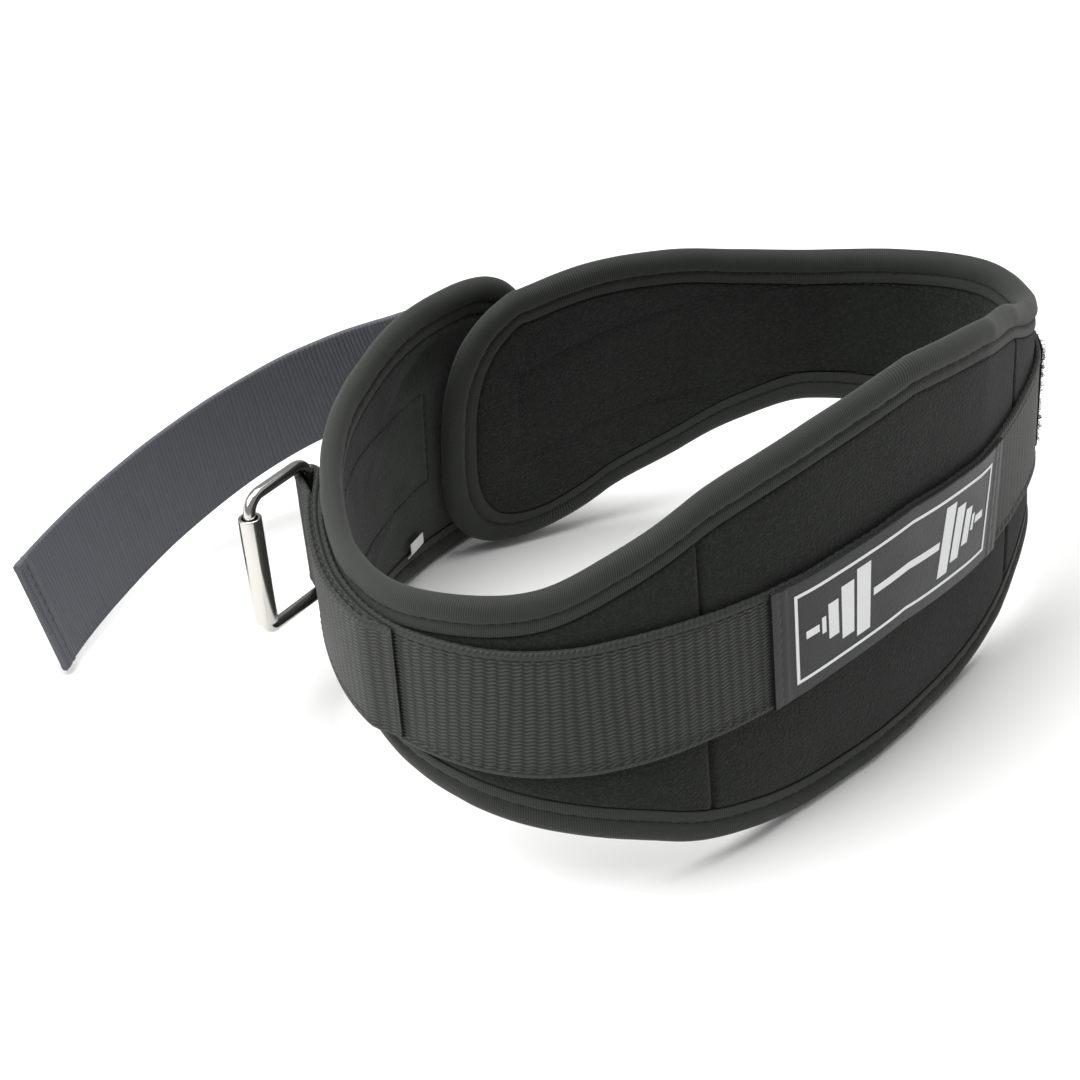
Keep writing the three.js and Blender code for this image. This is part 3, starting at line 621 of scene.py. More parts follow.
def makeBody():
    look = bodyLook
    panels = [-look["panelSeam"], look["panelSeam"], bandX[0] + 4, bandX[1] - 4]
    columnsAt = beltColumns(look["alongStep"], look["endColumns"], panels)
    rings, between = look["insets"], look["middleRows"]
    count = len(rings)
    # rows of one face from the lower rim to the upper one: ring number or share between
    lower = [(k, 0.0) for k in range(count)]
    middle = [(count - 1, (k + 1) / (between + 1)) for k in range(between)]
    upper = [(k, 1.0) for k in range(count - 1, -1, -1)]
    face = lower + middle + upper
    around = face + face[-2:0:-1] + [face[0]]
    outerRows = len(face)
    ring = np.array([r for r, _ in around])
    share = np.array([t for _, t in around])
    inner = np.arange(len(around)) >= outerRows
    inset, rim = np.array(rings)[ring], np.array(look["edgeDepths"])[ring]

    def place(column, row):
        s, i = columnsAt[column], inset[row]
        x, top = outlineAt(s, i, True)
        low = outlineAt(s, i, False)[1]
        y = low + (top - low) * share[row]
        z = np.where(inner[row], -belt["thickness"] - rim[row], rim[row])
        return np.stack([x, y, z], 1)

    def weave(column, row):
        flat = place(column, row)
        return np.stack([flat[:, 0], flat[:, 1] + np.where(inner[row], 400, 0)], 1)

    piece = shapedGrid("body_cover", len(columnsAt) - 1, len(around) - 1, place, weave)
    closeUp(piece)
    flat = vertexPlaces(piece)
    isInner = flat[:, 2] < -belt["thickness"] / 2
    x, y = flat[:, 0], flat[:, 1]

    # how free each place is, from 0 where it is sewn down to 1 where only foam is under it
    rim = np.minimum(outlineAt(x, 0, True)[1] - y, y - outlineAt(x, 0, False)[1])
    rim = np.minimum(rim, np.minimum(x + belt["buckleSide"], belt["strapSide"] - x))
    inBand = softStep((bandX[1] + 4 - x) / 4) * softStep((x - bandX[0] + 4) / 4)
    fromBand = np.where(isInner, np.abs(np.abs(y) - look["seamRow"]), np.abs(y) - 22.5)
    fromEnds = np.minimum(np.abs(x - bandX[0] - 4), np.abs(x - bandX[1] + 4))
    fromEnds = np.where(np.abs(y) < look["seamRow"], fromEnds, 99)
    fromPanel = np.where(isInner, 99, np.abs(np.abs(x) - look["panelSeam"]))
    free = softStep((rim - 12.6) / 6)
    free *= 1 - inBand * (1 - softStep(fromBand / 6))
    free *= np.where(isInner, softStep(fromEnds / 6), 1)
    free *= softStep((fromPanel - 0.6) / 6)
    swell = look["puff"] * free
    swell = simulatePadding(piece, free) * look["puff"]
    swell = swell * (1 - softStep((intoEnd(x) - 0.2) / 0.5) * 0.6)

    # sewn lines sink in: the panel seams and the webbing's rows on the inner face
    swell -= 1.5 * np.exp(-((fromPanel / 0.95) ** 2)) * softStep((rim - 12) / 1.5)
    onRows = np.where(isInner & (x > bandX[0]) & (x < bandX[1]), np.minimum(fromBand, fromEnds), 99)
    swell -= 0.45 * np.exp(-((onRows / 0.9) ** 2))
    side = np.where(isInner, -1, 1)
    for onSide, fromX, fromY, toX, toY, width, depth in look["creases"]:
        away = distanceToLine(x, y, fromX, fromY, toX, toY)
        swell += np.where(side == onSide, depth, 0) * np.exp(-((away / width) ** 2)) * free
    for onSide, atX, atY, width, height in look["lumps"]:
        away = np.hypot(x - atX, y - atY)
        swell += np.where(side == onSide, height, 0) * np.exp(-((away / width) ** 2)) * free
    flat[:, 2] += side * swell
    moveVertices(piece, flat)
    standUp(piece, beltWalk)
    finishPiece(piece, knit, nodes=["body"])
    return piece


# Cloth under pressure, sewn down where it isn't free. Gives each point's swelling, from 0 to 1
def simulatePadding(piece, free):
    alone(piece)
    bpy.ops.object.duplicate()
    trial = bpy.context.object
    trial.name = "padding_trial"
    start = vertexPlaces(trial) / 1000
    moveVertices(trial, start)
    sewn = trial.vertex_groups.new(name="sewn")
    for k in np.flatnonzero(free < 0.02):
        sewn.add([int(k)], 1.0, "REPLACE")
    cloth = trial.modifiers.new("padding", "CLOTH")
    settings = cloth.settings
    settings.quality = 4
    settings.mass = 0.3
    settings.tension_stiffness = settings.compression_stiffness = 20
    settings.shear_stiffness = 10
    settings.bending_stiffness = 0.6
    settings.vertex_group_mass = "sewn"
    settings.use_pressure = True
    settings.uniform_pressure_force = 4
    settings.effector_weights.gravity = 0
    cloth.collision_settings.use_collision = False
    cloth.point_cache.frame_end = 20
    for step in range(1, 21):
        bpy.context.scene.frame_set(step)
    alone(trial)
    bpy.ops.object.modifier_apply(modifier="padding")
    moved = np.abs(vertexPlaces(trial)[:, 2] - start[:, 2]) * 1000
    bpy.data.objects.remove(trial)
    bpy.context.scene.frame_set(1)
    print("padding: moved", round(float(moved.max()), 2), "mm at most before the cap")
    return np.tanh(moved / 2.2) * np.sqrt(np.clip(free, 0, 1))


# Webbing band

webbing = {
    "width": 45.0,
    "thickness": 2.0,
    "bandStart": -0.92,
    "bandEnd": 0.93,
    "alongStep": 2.4,
    "selvedge": 0.22,
    "row": 19.05,
}
bandX = [webbing["bandStart"] * belt["strapSide"], webbing["bandEnd"] * belt["strapSide"]]
overWebbing = 2 * belt["gap"] + webbing["thickness"]


# Closed section of a webbing, from its lower edge up its outer face and down its inner one
def webbingSection(width, low, high, selvedge):
    w, mid = width / 2, (low + high) / 2
    side = [
        (w - 0.15, mid + 0.3 * (high - low)), (w - 0.6, high), (w - 1.3, high + selvedge),
        (w - 2.1, high + selvedge)
    ]
    side += [(w - 2.7, high - 0.12), (w - 3.6, high - 0.05)]
    field = [(y, high - 0.05) for y in np.linspace(w - 5, 5 - w, 15)]
    outer = side + field + [(-y, z) for y, z in reversed(side)]
    back = [(w - 0.15, mid - 0.3 * (high - low)), (w - 0.7, low), (w - 3, low), (0.0, low)]
    inner = [(-y, z) for y, z in back[:3]] + [back[3]] + list(reversed(back[:3]))
    loop = [(w, mid)] + outer + [(-w, mid)] + inner + [(w, mid)]
    return np.array(loop)


# A band: a closed section, which may change along it, drawn along given distances
def makeBand(name, distances, section, crossing=None):
    distances = np.asarray(distances, float)
    loop = np.asarray(section, float)
    run = np.concatenate([[0], np.cumsum(np.linalg.norm(np.diff(loop, axis=0), axis=1))])

    def place(column, row):
        s, y, z = distances[column], loop[row, 0], loop[row, 1]
        if crossing:
            s, y, z = crossing(s, y, z)
        return np.stack([s, y, z], 1)

    def weave(column, row):
        return np.stack([distances[column], run[row]], 1)

    piece = shapedGrid(name, len(distances) - 1, len(loop) - 1, place, weave)
    closeUp(piece)
    return piece


def makeWebbing():
    section = webbingSection(
        webbing["width"], belt["gap"], belt["gap"] + webbing["thickness"], webbing["selvedge"]
    )
    distances = np.linspace(*bandX, int((bandX[1] - bandX[0]) / webbing["alongStep"]) + 1)

    def crossing(s, y, z):
        onFace = z > belt["gap"] + 1
        pull = 0.1 * np.exp(-(((np.abs(y) - webbing["row"]) / 0.8) ** 2))
        return s, y + 0.25 * unevenness(s, 46, 3), z - np.where(onFace, pull, 0)

    piece = makeBand("webbing_band", distances, section, crossing)
    standUp(piece, beltWalk)
    finishPiece(piece, webbingCloth, nodes=["webbing"])


# Binding: one tape folded over the edge

binding = {
    "columnsStep": 1.35,
    "endColumns": 26,
    # inset from the edge and depth, from the outer margin's edge to the middle of the roll
    "section": [
        (12.3, -0.8), (12.55, -0.3), (12.45, 0.04), (12.0, 0.15), (11.0, 0.17), (10.0, 0.14), (9.35, 0.0),
        (8.9, -0.2), (8.5, -0.45), (8.1, -0.45), (7.7, -0.12), (7.2, 0.22), (6.6, 0.47), (5.8, 0.63), (
            4.8, 0.66
        ),
        (3.6, 0.44), (2.3, 0.0), (1.2, -0.75), (0.45, -1.75), (0.1, -2.6), (0.0, -3.1),
    ],
    "inside": [(0.9, -3.1), (1.1, -2.2), (2.4, -0.95), (12.3, -0.95)],
    "stitchInset": 8.3,
    # pinches of the roll: x, y, half width, depth
    "pinches": [
        (384, -14, 5.0, 0.7), (376, -30, 3.0, 0.5), (-404, 30, 6.0, -0.5), (-392, 44, 4.0, 0.5),
        (-408, -8, 4.0, 0.4)
    ],
}


def bindingRing(step, endColumns):
    columnsAt = beltColumns(step, endColumns)
    distances = np.concatenate([columnsAt, columnsAt[-2:0:-1], columnsAt[:1]])
    upper = np.concatenate([np.ones(len(columnsAt), bool), np.zeros(len(columnsAt) - 1, bool)])
    upper[-1] = True
    return distances, upper


def makeBinding():
    distances, upper = bindingRing(binding["columnsStep"], binding["endColumns"])
    outside = list(binding["section"])
    mirrored = [(i, -belt["thickness"] - z) for i, z in reversed(outside[:-1])]
    back = [(i, -belt["thickness"] - z) for i, z in reversed(binding["inside"][1:])]
    loop = np.array(outside + mirrored + back + binding["inside"] + outside[:1])
    run = np.concatenate([[0], np.cumsum(np.linalg.norm(np.diff(loop, axis=0), axis=1))])
    x, y = outlineAt(distances, 6.0, upper)
    perimeter = np.concatenate([[0], np.cumsum(np.hypot(np.diff(x), np.diff(y)))])

    def place(column, row):
        s, up = distances[column], upper[column]
        inset, z = loop[row, 0], loop[row, 1]
        around = perimeter[column]
        middle = -belt["thickness"] / 2
        roll = np.exp(-(((inset - 5) / 4) ** 2)) * 0.22 * unevenness(around, 31, 11)
        pucker = np.exp(-(((inset - 8.6) / 1.6) ** 2)) * 0.1 * np.sin(around * 2 * math.pi / 7.2)
        x, y = outlineAt(s, inset, up)
        for atX, atY, width, depth in binding["pinches"]:
            fall = np.exp(-((np.hypot(x - atX, y - atY) / width) ** 2)) * np.exp(-(((inset - 5) / 5) ** 2))
            roll = roll - depth * fall
        return np.stack([x, y, z + np.sign(z - middle) * (roll + pucker)], 1)

    def weave(column, row):
        return np.stack([perimeter[column], run[row]], 1)

    piece = shapedGrid("edge_binding", len(distances) - 1, len(loop) - 1, place, weave)
    closeUp(piece)
    standUp(piece, beltWalk, floor=0.0001)
    finishPiece(piece, tape, nodes=["binding"])
    x, y = outlineAt(distances, binding["stitchInset"], upper)
    rows = [np.stack([x, y, 0 * x - 0.36], 1), np.stack([x, y, 0 * x - belt["thickness"] + 0.36], 1)]
    stitchRows("binding_stitches", rows, beltWalk, threadDark)


# Label: a vinyl patch sewn over the webbing, with a plain printed design

label = {"length": 123.0, "thickness": 0.9, "hem": 6.0, "hemLift": 0.3, "step": 1.8, "printLift": 0.06}
labelTop = overWebbing + label["thickness"]


def labelRise(x):
    fromEnd = label["length"] / 2 - np.abs(x)
    return label["hemLift"] * softStep((label["hem"] + 0.8 - fromEnd) / 1.6) - 0.22 * np.exp(
        -(((fromEnd - 3.2) / 0.7) ** 2)
    )


def makeLabel():
    w = webbing["width"] / 2
    low, high = overWebbing, labelTop
    outer = [(w - 0.05, low + 0.6), (w - 0.35, high - 0.06)]
    outer += [(y, high) for y in np.linspace(w - 0.9, 0.9 - w, 21)] + [(-y, z) for y, z in reversed(outer)]
    loop = [(w, low + 0.2)] + outer + [(-w, low + 0.2), (0.3 - w, low), (w - 0.3, low), (w, low + 0.2)]
    half = label["length"] / 2
    distances = np.linspace(-half, half, int(label["length"] / label["step"]) + 1)
    distances = np.unique(
        np.concatenate([distances, half - np.arange(0, 8, 0.5), np.arange(0, 8, 0.5) - half])
    )

    def crossing(s, y, z):
        return s, y, z + np.where(z > low + 0.3, labelRise(s), 0)

    piece = makeBand("label_patch", distances, loop, crossing)
    standUp(piece, beltWalk)
    finishPiece(piece, vinyl, nodes=["label"])
    rows = []
    for end in (-1, 1):
        x = end * (half - 3.2)
        rows.append([(x, y, labelTop + 0.12) for y in np.linspace(1.5 - w, w - 1.5, 12)])
    stitchRows("label_stitches", rows, beltWalk)


# Printed shapes: flat outlines cut fine enough to follow the belt's curve
def printedShape(outline, lift):
    bpy.ops.object.select_all(action="DESELECT")
    low, high = np.min(outline, 0), np.max(outline, 0)
    size = high - low
    cells = [max(2, int(size[k] / 1.5)) for k in (0, 1)]
    bpy.ops.mesh.primitive_grid_add(x_subdivisions=cells[0], y_subdivisions=cells[1], size=1)
    shape = bpy.context.object
    places = vertexPlaces(shape)
    places[:, :2] = (places[:, :2] + 0.5) * size + low
    places[:, 2] = lift
    moveVertices(shape, places)
    return shape


def makePrint():
    lift = labelTop + label["printLift"]
    # distance of a plate's middle from the label's, its width and its height
    plates = [(22.5, 6.4, 27.0), (29.8, 5.6, 21.0), (36.2, 4.4, 14.0), (40.4, 1.8, 6.5)]
    boxes = [(-17.8, -1.5, 17.8, 1.5), (-48.0, -1.5, -42.4, 1.5), (42.4, -1.5, 48.0, 1.5)]
    for side in (-1, 1):
        for out, wide, high in plates:
            boxes.append((side * out - wide / 2, -high / 2, side * out + wide / 2, high / 2))
    frameX, frameY, line = 52.5, 17.4, 1.3
    boxes += [
        (-frameX, frameY - line, frameX, frameY),
        (-frameX, -frameY, frameX, line - frameY),
        (-frameX, -frameY, line - frameX, frameY),
        (frameX - line, -frameY, frameX, frameY),
    ]
    shapes = [printedShape([(a, b), (c, d)], lift + 0.004 * k) for k, (a, b, c, d) in enumerate(boxes)]
    bpy.ops.object.select_all(action="DESELECT")
    for shape in shapes:
        shape.select_set(True)
    bpy.context.view_layer.objects.active = shapes[0]
    bpy.ops.object.join()
    piece = bpy.context.object
    piece.name = piece.data.name = "label_print"
    standUp(piece, beltWalk)
    alone(piece)
    finishPiece(piece, printWhite)


# Pile tape: loops of nylon on the strap's side

pile = {
    "start": 0.33, "end": 0.68, "thickness": 1.8, "margin": 1.5, "base": 0.9, "loops": 5200, "height": 1.5
}


def makePile():
    width = webbing["width"] - 2 * pile["margin"]
    w, low, high = width / 2, overWebbing, overWebbing + pile["base"]
    outer = [(w - 0.2, high - 0.1)] + [(y, high) for y in np.linspace(w - 0.7, 0.7 - w, 19)] + [
        (0.2 - w, high - 0.1)
    ]
    loop = [(w, low + 0.3)] + outer + [(-w, low + 0.3), (0.3 - w, low), (w - 0.3, low), (w, low + 0.3)]
    first, last = pile["start"] * belt["strapSide"], pile["end"] * belt["strapSide"]
    piece = makeBand("pile_backing", np.linspace(first, last, 66), loop)
    standUp(piece, beltWalk)
    finishPiece(piece, pileFibre, nodes=["pile_tape"])

    # each loop is a thin arch of five places with a three-sided section
    draw = np.random.default_rng(23)
    turns = np.linspace(0, math.pi, 6)
    arch = np.stack([0.55 * np.cos(turns), 0 * turns, np.sin(turns)], 1)
    spoke = np.array([(math.cos(a), math.sin(a)) for a in (0, 2.1, 4.2)]) * 0.09
    places, faces = [], []
    for k in range(pile["loops"]):
        x, y = draw.uniform(first + 0.8, last - 0.8), draw.uniform(0.8 - w, w - 0.8)
        turn, tall = draw.uniform(0, 2 * math.pi), pile["height"] * draw.uniform(0.55, 1.25)
        leanX, leanY = draw.normal(0, 0.35, 2)
        c, s = math.cos(turn), math.sin(turn)
        wide = draw.uniform(0.6, 1.5)
        path = arch * [wide, 1, tall]
        path = np.stack(
            [path[:, 0] * c + leanX * path[:, 2], path[:, 0] * s + leanY * path[:, 2], path[:, 2]], 1
        )
        path += [x, y, high - 0.15]
        start = len(places) * 18
        side = np.array([-s, c, 0])
        ring = []
        for point in path:
            for a, b in spoke:
                ring.append(point + side * a + np.array([0, 0, b]))
        places.append(np.array(ring))
        for m in range(5):
            for n in range(3):
                a, b = start + m * 3 + n, start + m * 3 + (n + 1) % 3
                faces.append((a, b, b + 3, a + 3))
    mesh = bpy.data.meshes.new("pile_loops")
    mesh.from_pydata(np.concatenate(places).tolist(), [], faces)
    loops = bpy.data.objects.new("pile_loops", mesh)
    bpy.context.scene.collection.objects.link(loops)
    standUp(loops, beltWalk)
    finishPiece(loops, pileFibre)


# Free strap

strap = {
    "root": 0.72,
    "seam": 12.0,
    "length": 297.0,
    "step": 2.4,
    "hem": 6.5,
    # share of its length, heading, lean, fall below the root in widths of the webbing
    "course": [
        (0.0, 201.5, 0.5, 0.0), (0.03, 199, -1, 0.01), (0.075, 192, -4, 0.02), (0.125, 184, -7, 0.02),
        (0.175, 177, -10, 0.04), (0.24, 174, -13, 0.1), (0.31, 174.5, -15, 0.165), (0.38, 183, -11, 0.33),
        (0.45, 195, -7, 0.475), (0.52, 207, -3.5, 0.61), (0.585, 218.5, 0, 0.73), (0.655, 228, 4, 0.83),
        (0.72, 234, 7, 0.905), (0.79, 239, 10, 0.975), (0.86, 244, 13.5, 1.03), (0.93, 249.5, 16, 1.07),
        (1.0, 254.5, 19, 1.095),
    ],
}


def makeStrapWalk():
    root = standing(beltWalk, np.array([[strap["root"] * belt["strapSide"], 0, overWebbing]]))[0]
    free = walkStrip(
        0,
        strap["length"],
        (root[0], root[1], 0),
        lambda s: smoothColumn(strap["course"], 1, s / strap["length"]),
        lambda s: root[2] - webbing["width"] * smoothColumn(strap["course"], 3, s / strap["length"]),
        lambda s: smoothColumn(strap["course"], 2, s / strap["length"]),
        steps=990,
        reach=1.3,
    )
    # the sewn end lies on the belt's own course
    before = -np.arange(1, 51)[::-1] * free["step"]
    onBelt = before + strap["root"] * belt["strapSide"]
    joined = {"first": before[0], "step": free["step"]}
    for what in ("centre", "along", "across", "out"):
        table = frameAt(beltWalk, onBelt, what)
        if what == "centre":
            table = table + frameAt(beltWalk, onBelt, "out") * overWebbing
        joined[what] = np.concatenate([table, free[what]])
    return joined


strapWalk = makeStrapWalk()


def makeStrap():
    thick = webbing["thickness"]
    section = webbingSection(webbing["width"], 0, thick, 0.18)
    distances = np.linspace(
        -strap["seam"], strap["length"], int((strap["length"] + strap["seam"]) / strap["step"]) + 1
    )
    fine = strap["length"] - np.arange(0, 10, 0.6)
    distances = np.unique(np.concatenate([distances[distances < fine[-1] - 0.5], fine]))

    def crossing(s, y, z):
        fromEnd = strap["length"] - s
        hem = softStep((strap["hem"] + 0.6 - fromEnd) / 1.2)
        pull = 0.3 * np.exp(-(((fromEnd - 4.2) / 0.7) ** 2))
        lift = np.where(z > thick / 2, 0.35 * hem - pull, -0.55 * hem + pull)
        ends = np.where(fromEnd < 0.9, (z - thick / 2) * -0.35, 0)  # the fold is round
        return s, y + 0.1 * unevenness(s, 52, 9), z + lift + ends

    piece = makeBand("free_strap", distances, section, crossing)
    standUp(piece, strapWalk)
    finishPiece(piece, strapCloth, nodes=["strap"])
    w = webbing["width"] / 2
    x = strap["length"] - 4.2
    rows = [[(x, y, z) for y in np.linspace(2 - w, w - 2, 12)] for z in (thick + 0.12, -0.32)]
    for x in (-strap["seam"] + 2.5, -2.5):
        rows.append([(x, y, thick + 0.1) for y in np.linspace(2 - w, w - 2, 12)])
    stitchRows("strap_stitches", rows, strapWalk)


# Buckle: its webbing loop, its wire frame and its roller

buckle = {
    "wire": 4.3,
    "width": 31.0,
    "length": 50.0,
    "corner": 3.4,
    "bend": 6.2,
    "rollerDiameter": 8.0,
    "rollerWall": 1.2,
    "rollerLength": 40.0,
    "swing": 28.4,
    "barShare": -0.738,
    "tiltAlong": -1.9,
    "tiltOut": 1.8,
    "loopWidth": 43.0,
    "loopEnd": -0.48,
    "clearance": 0.3,
}
turn = next(j for j in frame["joints"] if j["name"] == "buckle_turn")


# Where the bar's middle lies on the flat belt, found from the hinge's own place
def barOnBelt():
    pivot = np.array(turn["pos_m"] if "pos_m" in turn else turn["pivot_m"]) * 1000
    s = buckle["barShare"] * belt["strapSide"]
    for _ in range(6):
        away = pivot - frameAt(beltWalk, s, "centre")
        s += away @ frameAt(beltWalk, s, "along") * 0.8
    away = pivot - frameAt(beltWalk, s, "centre")
    return pivot, s, away @ frameAt(beltWalk, s, "across"), away @ frameAt(beltWalk, s, "out")


pivot, barX, barY, barZ = barOnBelt()
print("buckle: bar at", [round(float(v), 2) for v in (barX, barY, barZ)])


def makeLoop():
    thick = webbing["thickness"]
    radius = buckle["wire"] / 2 + buckle["clearance"] + thick / 2
    lowZ, highZ = overWebbing + thick / 2, overWebbing + 1.5 * thick
    end = buckle["loopEnd"] * belt["strapSide"]
    # the webbing's middle line in plan: out along the belt, round the bar and back over itself
    turns = np.radians(np.linspace(262, 48, 30))
    eye = np.stack([barX + radius * np.cos(turns), barZ + radius * np.sin(turns)], 1)
    under = np.linspace(end, barX + 6.5, 34)
    sewn = softStep((under - end + 12) / 11)
    under = np.stack([under, lowZ - 0.75 * sewn], 1)
    over = np.linspace(barX + radius + 9.5, end + 0.8, 32)
    pressed = softStep((over - end + 12) / 11)
    over = np.stack([over, highZ - 2.2 * pressed], 1)
    thin = np.concatenate([1 - 0.75 * sewn, np.ones(30), 1 - 0.75 * pressed])
    line = np.concatenate([under, eye, over])
    way = np.gradient(line, axis=0)
    way /= np.linalg.norm(way, axis=1)[:, None]
    normal = np.stack([-way[:, 1], way[:, 0]], 1)
    run = np.concatenate([[0], np.cumsum(np.linalg.norm(np.diff(line, axis=0), axis=1))])
    section = webbingSection(buckle["loopWidth"] - 0.6, -thick / 2, thick / 2, 0.12)
    around = np.concatenate([[0], np.cumsum(np.linalg.norm(np.diff(section, axis=0), axis=1))])
    leanX, leanZ = (math.tan(math.radians(buckle[k])) for k in ("tiltAlong", "tiltOut"))
    atBar = np.exp(-(((line[:, 0] - barX) / 9) ** 2))

    def place(column, row):
        y, z = section[row, 0], section[row, 1] * thin[column]
        x = line[column, 0] + normal[column, 0] * z + y * leanX * atBar[column]
        depth = line[column, 1] + normal[column, 1] * z + y * leanZ * atBar[column]
        return np.stack([x, y + barY, depth], 1)

    def weave(column, row):
        return np.stack([run[column], around[row]], 1)

    piece = shapedGrid("buckle_webbing", len(line) - 1, len(section) - 1, place, weave)
    closeUp(piece)
    standUp(piece, beltWalk)
    finishPiece(piece, webbingCloth, nodes=["buckle_loop"])
    w, top = buckle["loopWidth"] / 2, highZ + thick / 2 + 0.08
    rows = []
    for y in (3 - w, w - 3):
        rows.append([(x, y + barY, top) for x in np.linspace(end - 14, barX + 14, 40)])
    rows.append([(barX + 14, y + barY, top) for y in np.linspace(3 - w, w - 3, 12)])
    stitchRows("loop_stitches", rows, beltWalk)


# The buckle is modelled flat: x from bar to bar, z along the bars, then turned into place
def buckleMatrix():
    axis = Vector(-np.array(turn["axis"])).normalized()
    out = Vector(frameAt(beltWalk, barX, "out"))
    out = (out - axis * out.dot(axis)).normalized()
    along = axis.cross(out).normalized()
    if along.dot(Vector(frameAt(beltWalk, barX, "along"))) < 0:
        along.negate()
    swing = math.radians(buckle["swing"])
    reach = along * math.cos(swing) + out * math.sin(swing)
    turned = Matrix((reach, axis.cross(reach), axis)).transposed().to_4x4()
    return Matrix.Translation(Vector(pivot) / 1000) @ turned @ Matrix.Scale(0.001, 4)


def makeBuckle():
    place = buckleMatrix()
    reach, half = buckle["width"], buckle["length"] / 2
    corner, radius = buckle["corner"], buckle["wire"] / 2
    # the wire: a circle drawn along the four sides and spun round the corners
    bpy.ops.object.select_all(action="DESELECT")
    bpy.ops.mesh.primitive_circle_add(vertices=20, radius=radius, location=(reach, 0, 0))
    wire = bpy.context.object
    bpy.ops.object.transform_apply(location=True, rotation=True, scale=True)
    bpy.ops.object.mode_set(mode="EDIT")
    bpy.ops.mesh.select_all(action="SELECT")
    bend = buckle["bend"]
    straight = [(0, 0, half - bend), (-(reach - 2 * bend), 0, 0), (0, 0, corner + bend - 2 * half),
                (reach - 2 * corner, 0, 0), (0, 0, half - corner)]
    centres = [(reach - bend, 0, half - bend), (bend, 0, half - bend),
               (corner, 0, corner - half), (reach - corner, 0, corner - half)]
    for k, move in enumerate(straight):
        for _ in range(4):
            bpy.ops.mesh.extrude_region_move(TRANSFORM_OT_translate={"value": Vector(move) / 4})
        if k < 4:
            bpy.ops.mesh.spin(steps=10, angle=math.pi / 2, center=centres[k], axis=(0, 1, 0))
    bpy.ops.mesh.select_all(action="SELECT")
    bpy.ops.mesh.remove_doubles(threshold=0.01)
    bpy.ops.mesh.normals_make_consistent(inside=False)
    bpy.ops.object.mode_set(mode="OBJECT")
    wire.name = wire.data.name = "wire_frame"
    wire.data.transform(place)
    shadeSmooth(wire, 60)
    finishPiece(wire, nickel, body="buckle", nodes=["buckle_frame"])

    # the roller: a strip of sheet rolled round the outer bar, its edges not quite meeting
    outer, wall, long = buckle["rollerDiameter"] / 2, buckle["rollerWall"], buckle["rollerLength"]
    middleZ = long / 2 + belt["gap"] + corner - half
    bpy.ops.object.select_all(action="DESELECT")
    bpy.ops.mesh.primitive_plane_add(size=1, location=(0, 0, 0), rotation=(math.pi / 2, 0, 0))
    roller = bpy.context.object
    bpy.ops.object.transform_apply(location=True, rotation=True, scale=True)
    corners = vertexPlaces(roller)
    corners[:, 0] = outer - wall / 2 + corners[:, 0] * wall
    corners[:, 2] *= long
    moveVertices(roller, corners)
    bpy.ops.object.mode_set(mode="EDIT")
    bpy.ops.mesh.select_all(action="SELECT")
    bpy.ops.mesh.bevel(offset=0.4, segments=3, affect="VERTICES")
    bpy.ops.mesh.select_all(action="SELECT")
    bpy.ops.mesh.spin(steps=56, angle=math.radians(352), center=(0, 0, 0), axis=(0, 0, 1))
    bpy.ops.mesh.select_all(action="SELECT")
    bpy.ops.mesh.normals_make_consistent(inside=False)
    bpy.ops.object.mode_set(mode="OBJECT")
    roller.name = roller.data.name = "roller_tube"
    roller.data.transform(Matrix.Rotation(math.radians(200), 4, "Z"))
    roller.data.transform(Matrix.Translation((reach, 0, middleZ)))
    roller.data.transform(place)
    shadeSmooth(roller, 40)
    finishPiece(roller, nickel, body="roller", nodes=["buckle_roller"])


# Size tag, left blank

tag = {"share": -0.885, "length": 9.0, "height": 7.2, "thickness": 0.35, "inset": 13.0, "step": 0.5}


def makeTag():
    first = tag["share"] * belt["strapSide"]
    low = tag["inset"] - float(lowerEdge(tag["share"]))
    back = -belt["thickness"] - belt["gap"]
    across = int(tag["length"] / tag["step"])
    up = int(tag["height"] / tag["step"])

    def place(column, row):
        x, y = column / across, row / up
        lift = 0.12 * np.sin(x * math.pi) + 1.7 * softStep(y * 2.5)
        return np.stack(
            [first + x * tag["length"], low + y * tag["height"], back - tag["thickness"] - lift], 1
        )

    piece = shapedGrid("blank_tag", across, up, place, lambda c, r: np.stack([c * 0.5, r * 0.5], 1))
    alone(piece)
    solid = piece.modifiers.new("cloth", "SOLIDIFY")
    solid.thickness, solid.offset = tag["thickness"], 1.0
    bpy.ops.object.modifier_apply(modifier="cloth")
    standUp(piece, beltWalk)
    finishPiece(piece, satin, nodes=["size_tag"])


# Sewing rows of the webbing


def makeRows():
    y = webbing["row"]
    top = belt["gap"] + webbing["thickness"] + 0.02
    back = -belt["thickness"] + 0.22
    start, end = bandX
    labelEnd = label["length"] / 2 + 1
    pileX = [pile["start"] * belt["strapSide"] - 1, pile["end"] * belt["strapSide"] + 1]
    loopX = buckle["loopEnd"] * belt["strapSide"] + 1
    strapX = strap["root"] * belt["strapSide"] + 1
    barEnd = barX - 9
    spans = [(start + 4, barEnd), (loopX, -labelEnd), (labelEnd, pileX[0]), (strapX, end - 4)]
    rows = []
    for first, last in spans:
        for side in (-y, y):
            rows.append([(x, side, top) for x in np.linspace(first, last, 80)])
    for x in (start + 4, end - 4):
        rows.append([(x, v, top) for v in np.linspace(-y, y, 12)])
    stitchRows("webbing_stitches", rows, beltWalk)
    rows = []
    for side in (-y, y):
        rows.append([(x, side, back) for x in np.linspace(start + 4, end - 4, 400)])
    for x in (start + 4, end - 4):
        rows.append([(x, v, back) for v in np.linspace(-y, y, 12)])
    stitchRows("lining_stitches", rows, beltWalk, threadDark)


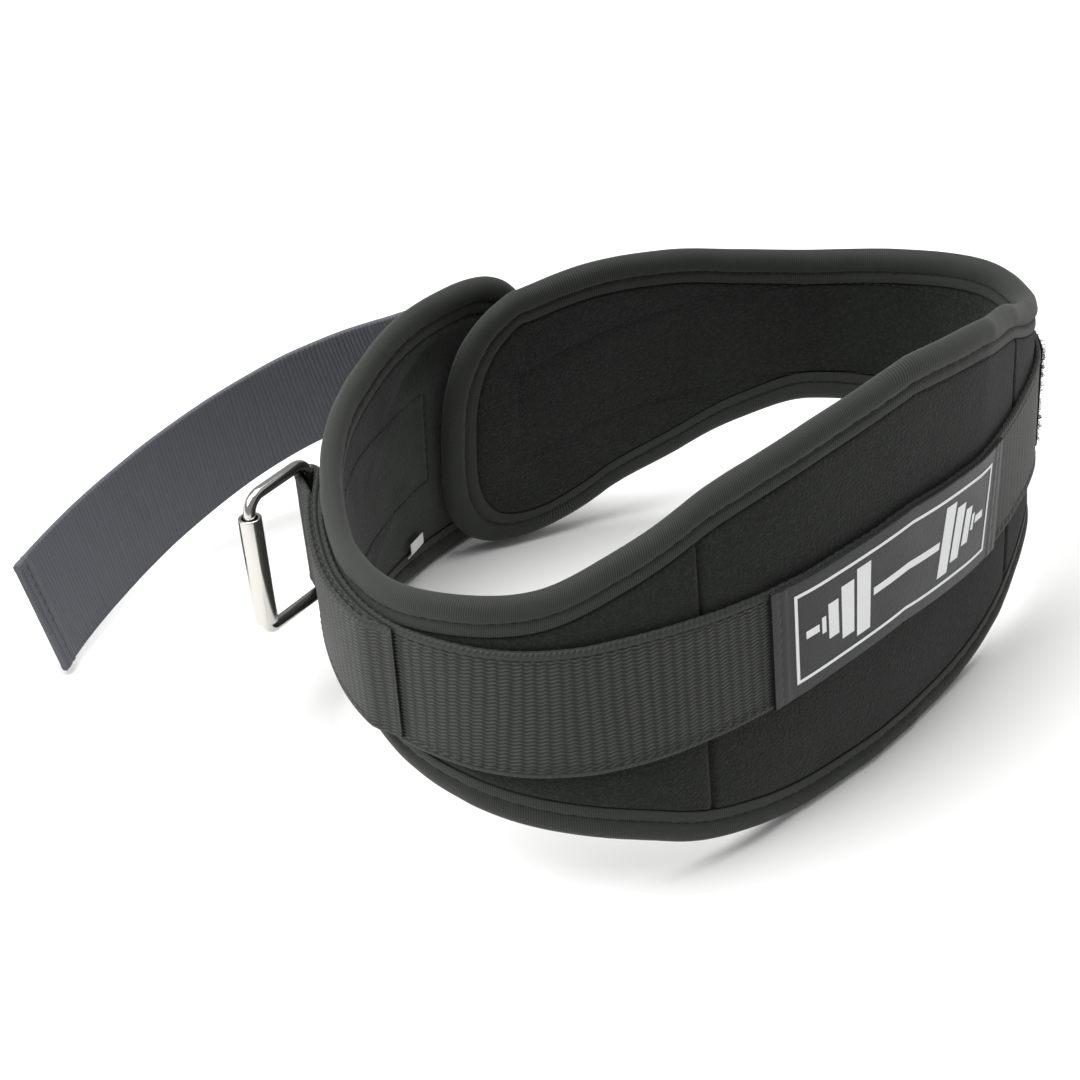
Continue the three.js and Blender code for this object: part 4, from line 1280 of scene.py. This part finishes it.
makeBody()
print("body: made")
makeBinding()
print("binding: made")
makeWebbing()
makeLabel()
makePrint()
makePile()
print("webbing, label and pile: made")
makeStrap()
makeLoop()
makeBuckle()
makeTag()
makeRows()
print("strap, buckle, tag and sewing rows: made")

# Floor, light and camera

stage = {
    "cameraPlace": (-1.0, -678.8, 530.9),
    "pitch": 54.69,
    "roll": 2.23,
    "lens": 80.0,
    "floorColour": "#f4f4f3",
}


def makeStage():
    bpy.ops.object.select_all(action="DESELECT")
    bpy.ops.mesh.primitive_plane_add(size=40, location=(0, 0, 0))
    floor = bpy.context.object
    floor.name = "floor"
    material, tree, shader = newMaterial("white_paper", stage["floorColour"], 0.9)
    floor.data.materials.append(material)
    world = bpy.data.worlds.new("studio")
    bpy.context.scene.world = world
    world.use_nodes = True
    world.node_tree.nodes["Background"].inputs["Color"].default_value = (1, 1, 1, 1)
    world.node_tree.nodes["Background"].inputs["Strength"].default_value = 0.33
    lights = [
        ("left_window", (-1.25, -0.35, 1.7), 1.7, 46.0),
        ("right_window", (1.5, 0.3, 1.0), 1.0, 0.8),
        ("overhead", (0.0, 0.25, 1.6), 1.2, 24.0),
    ]
    for name, place, size, power in lights:
        data = bpy.data.lights.new(name, "AREA")
        data.size, data.energy = size, power
        light = bpy.data.objects.new(name, data)
        light.location = place
        light.rotation_euler = (Vector((0, 0, 0.05)) - Vector(place)).to_track_quat("-Z", "Y").to_euler()
        bpy.context.scene.collection.objects.link(light)
    data = bpy.data.cameras.new("camera")
    data.lens, data.sensor_width = stage["lens"], 36
    camera = bpy.data.objects.new("camera", data)
    turned = Matrix.Rotation(math.radians(stage["pitch"]), 4, "X") @ Matrix.Rotation(
        math.radians(stage["roll"]), 4, "Z"
    )
    camera.matrix_world = Matrix.Translation(Vector(stage["cameraPlace"]) / 1000) @ turned
    data.clip_start = 0.01
    bpy.context.scene.collection.objects.link(camera)
    bpy.context.scene.camera = camera
    bpy.context.scene.view_settings.view_transform = "Standard"


makeStage()
print("stage: made")
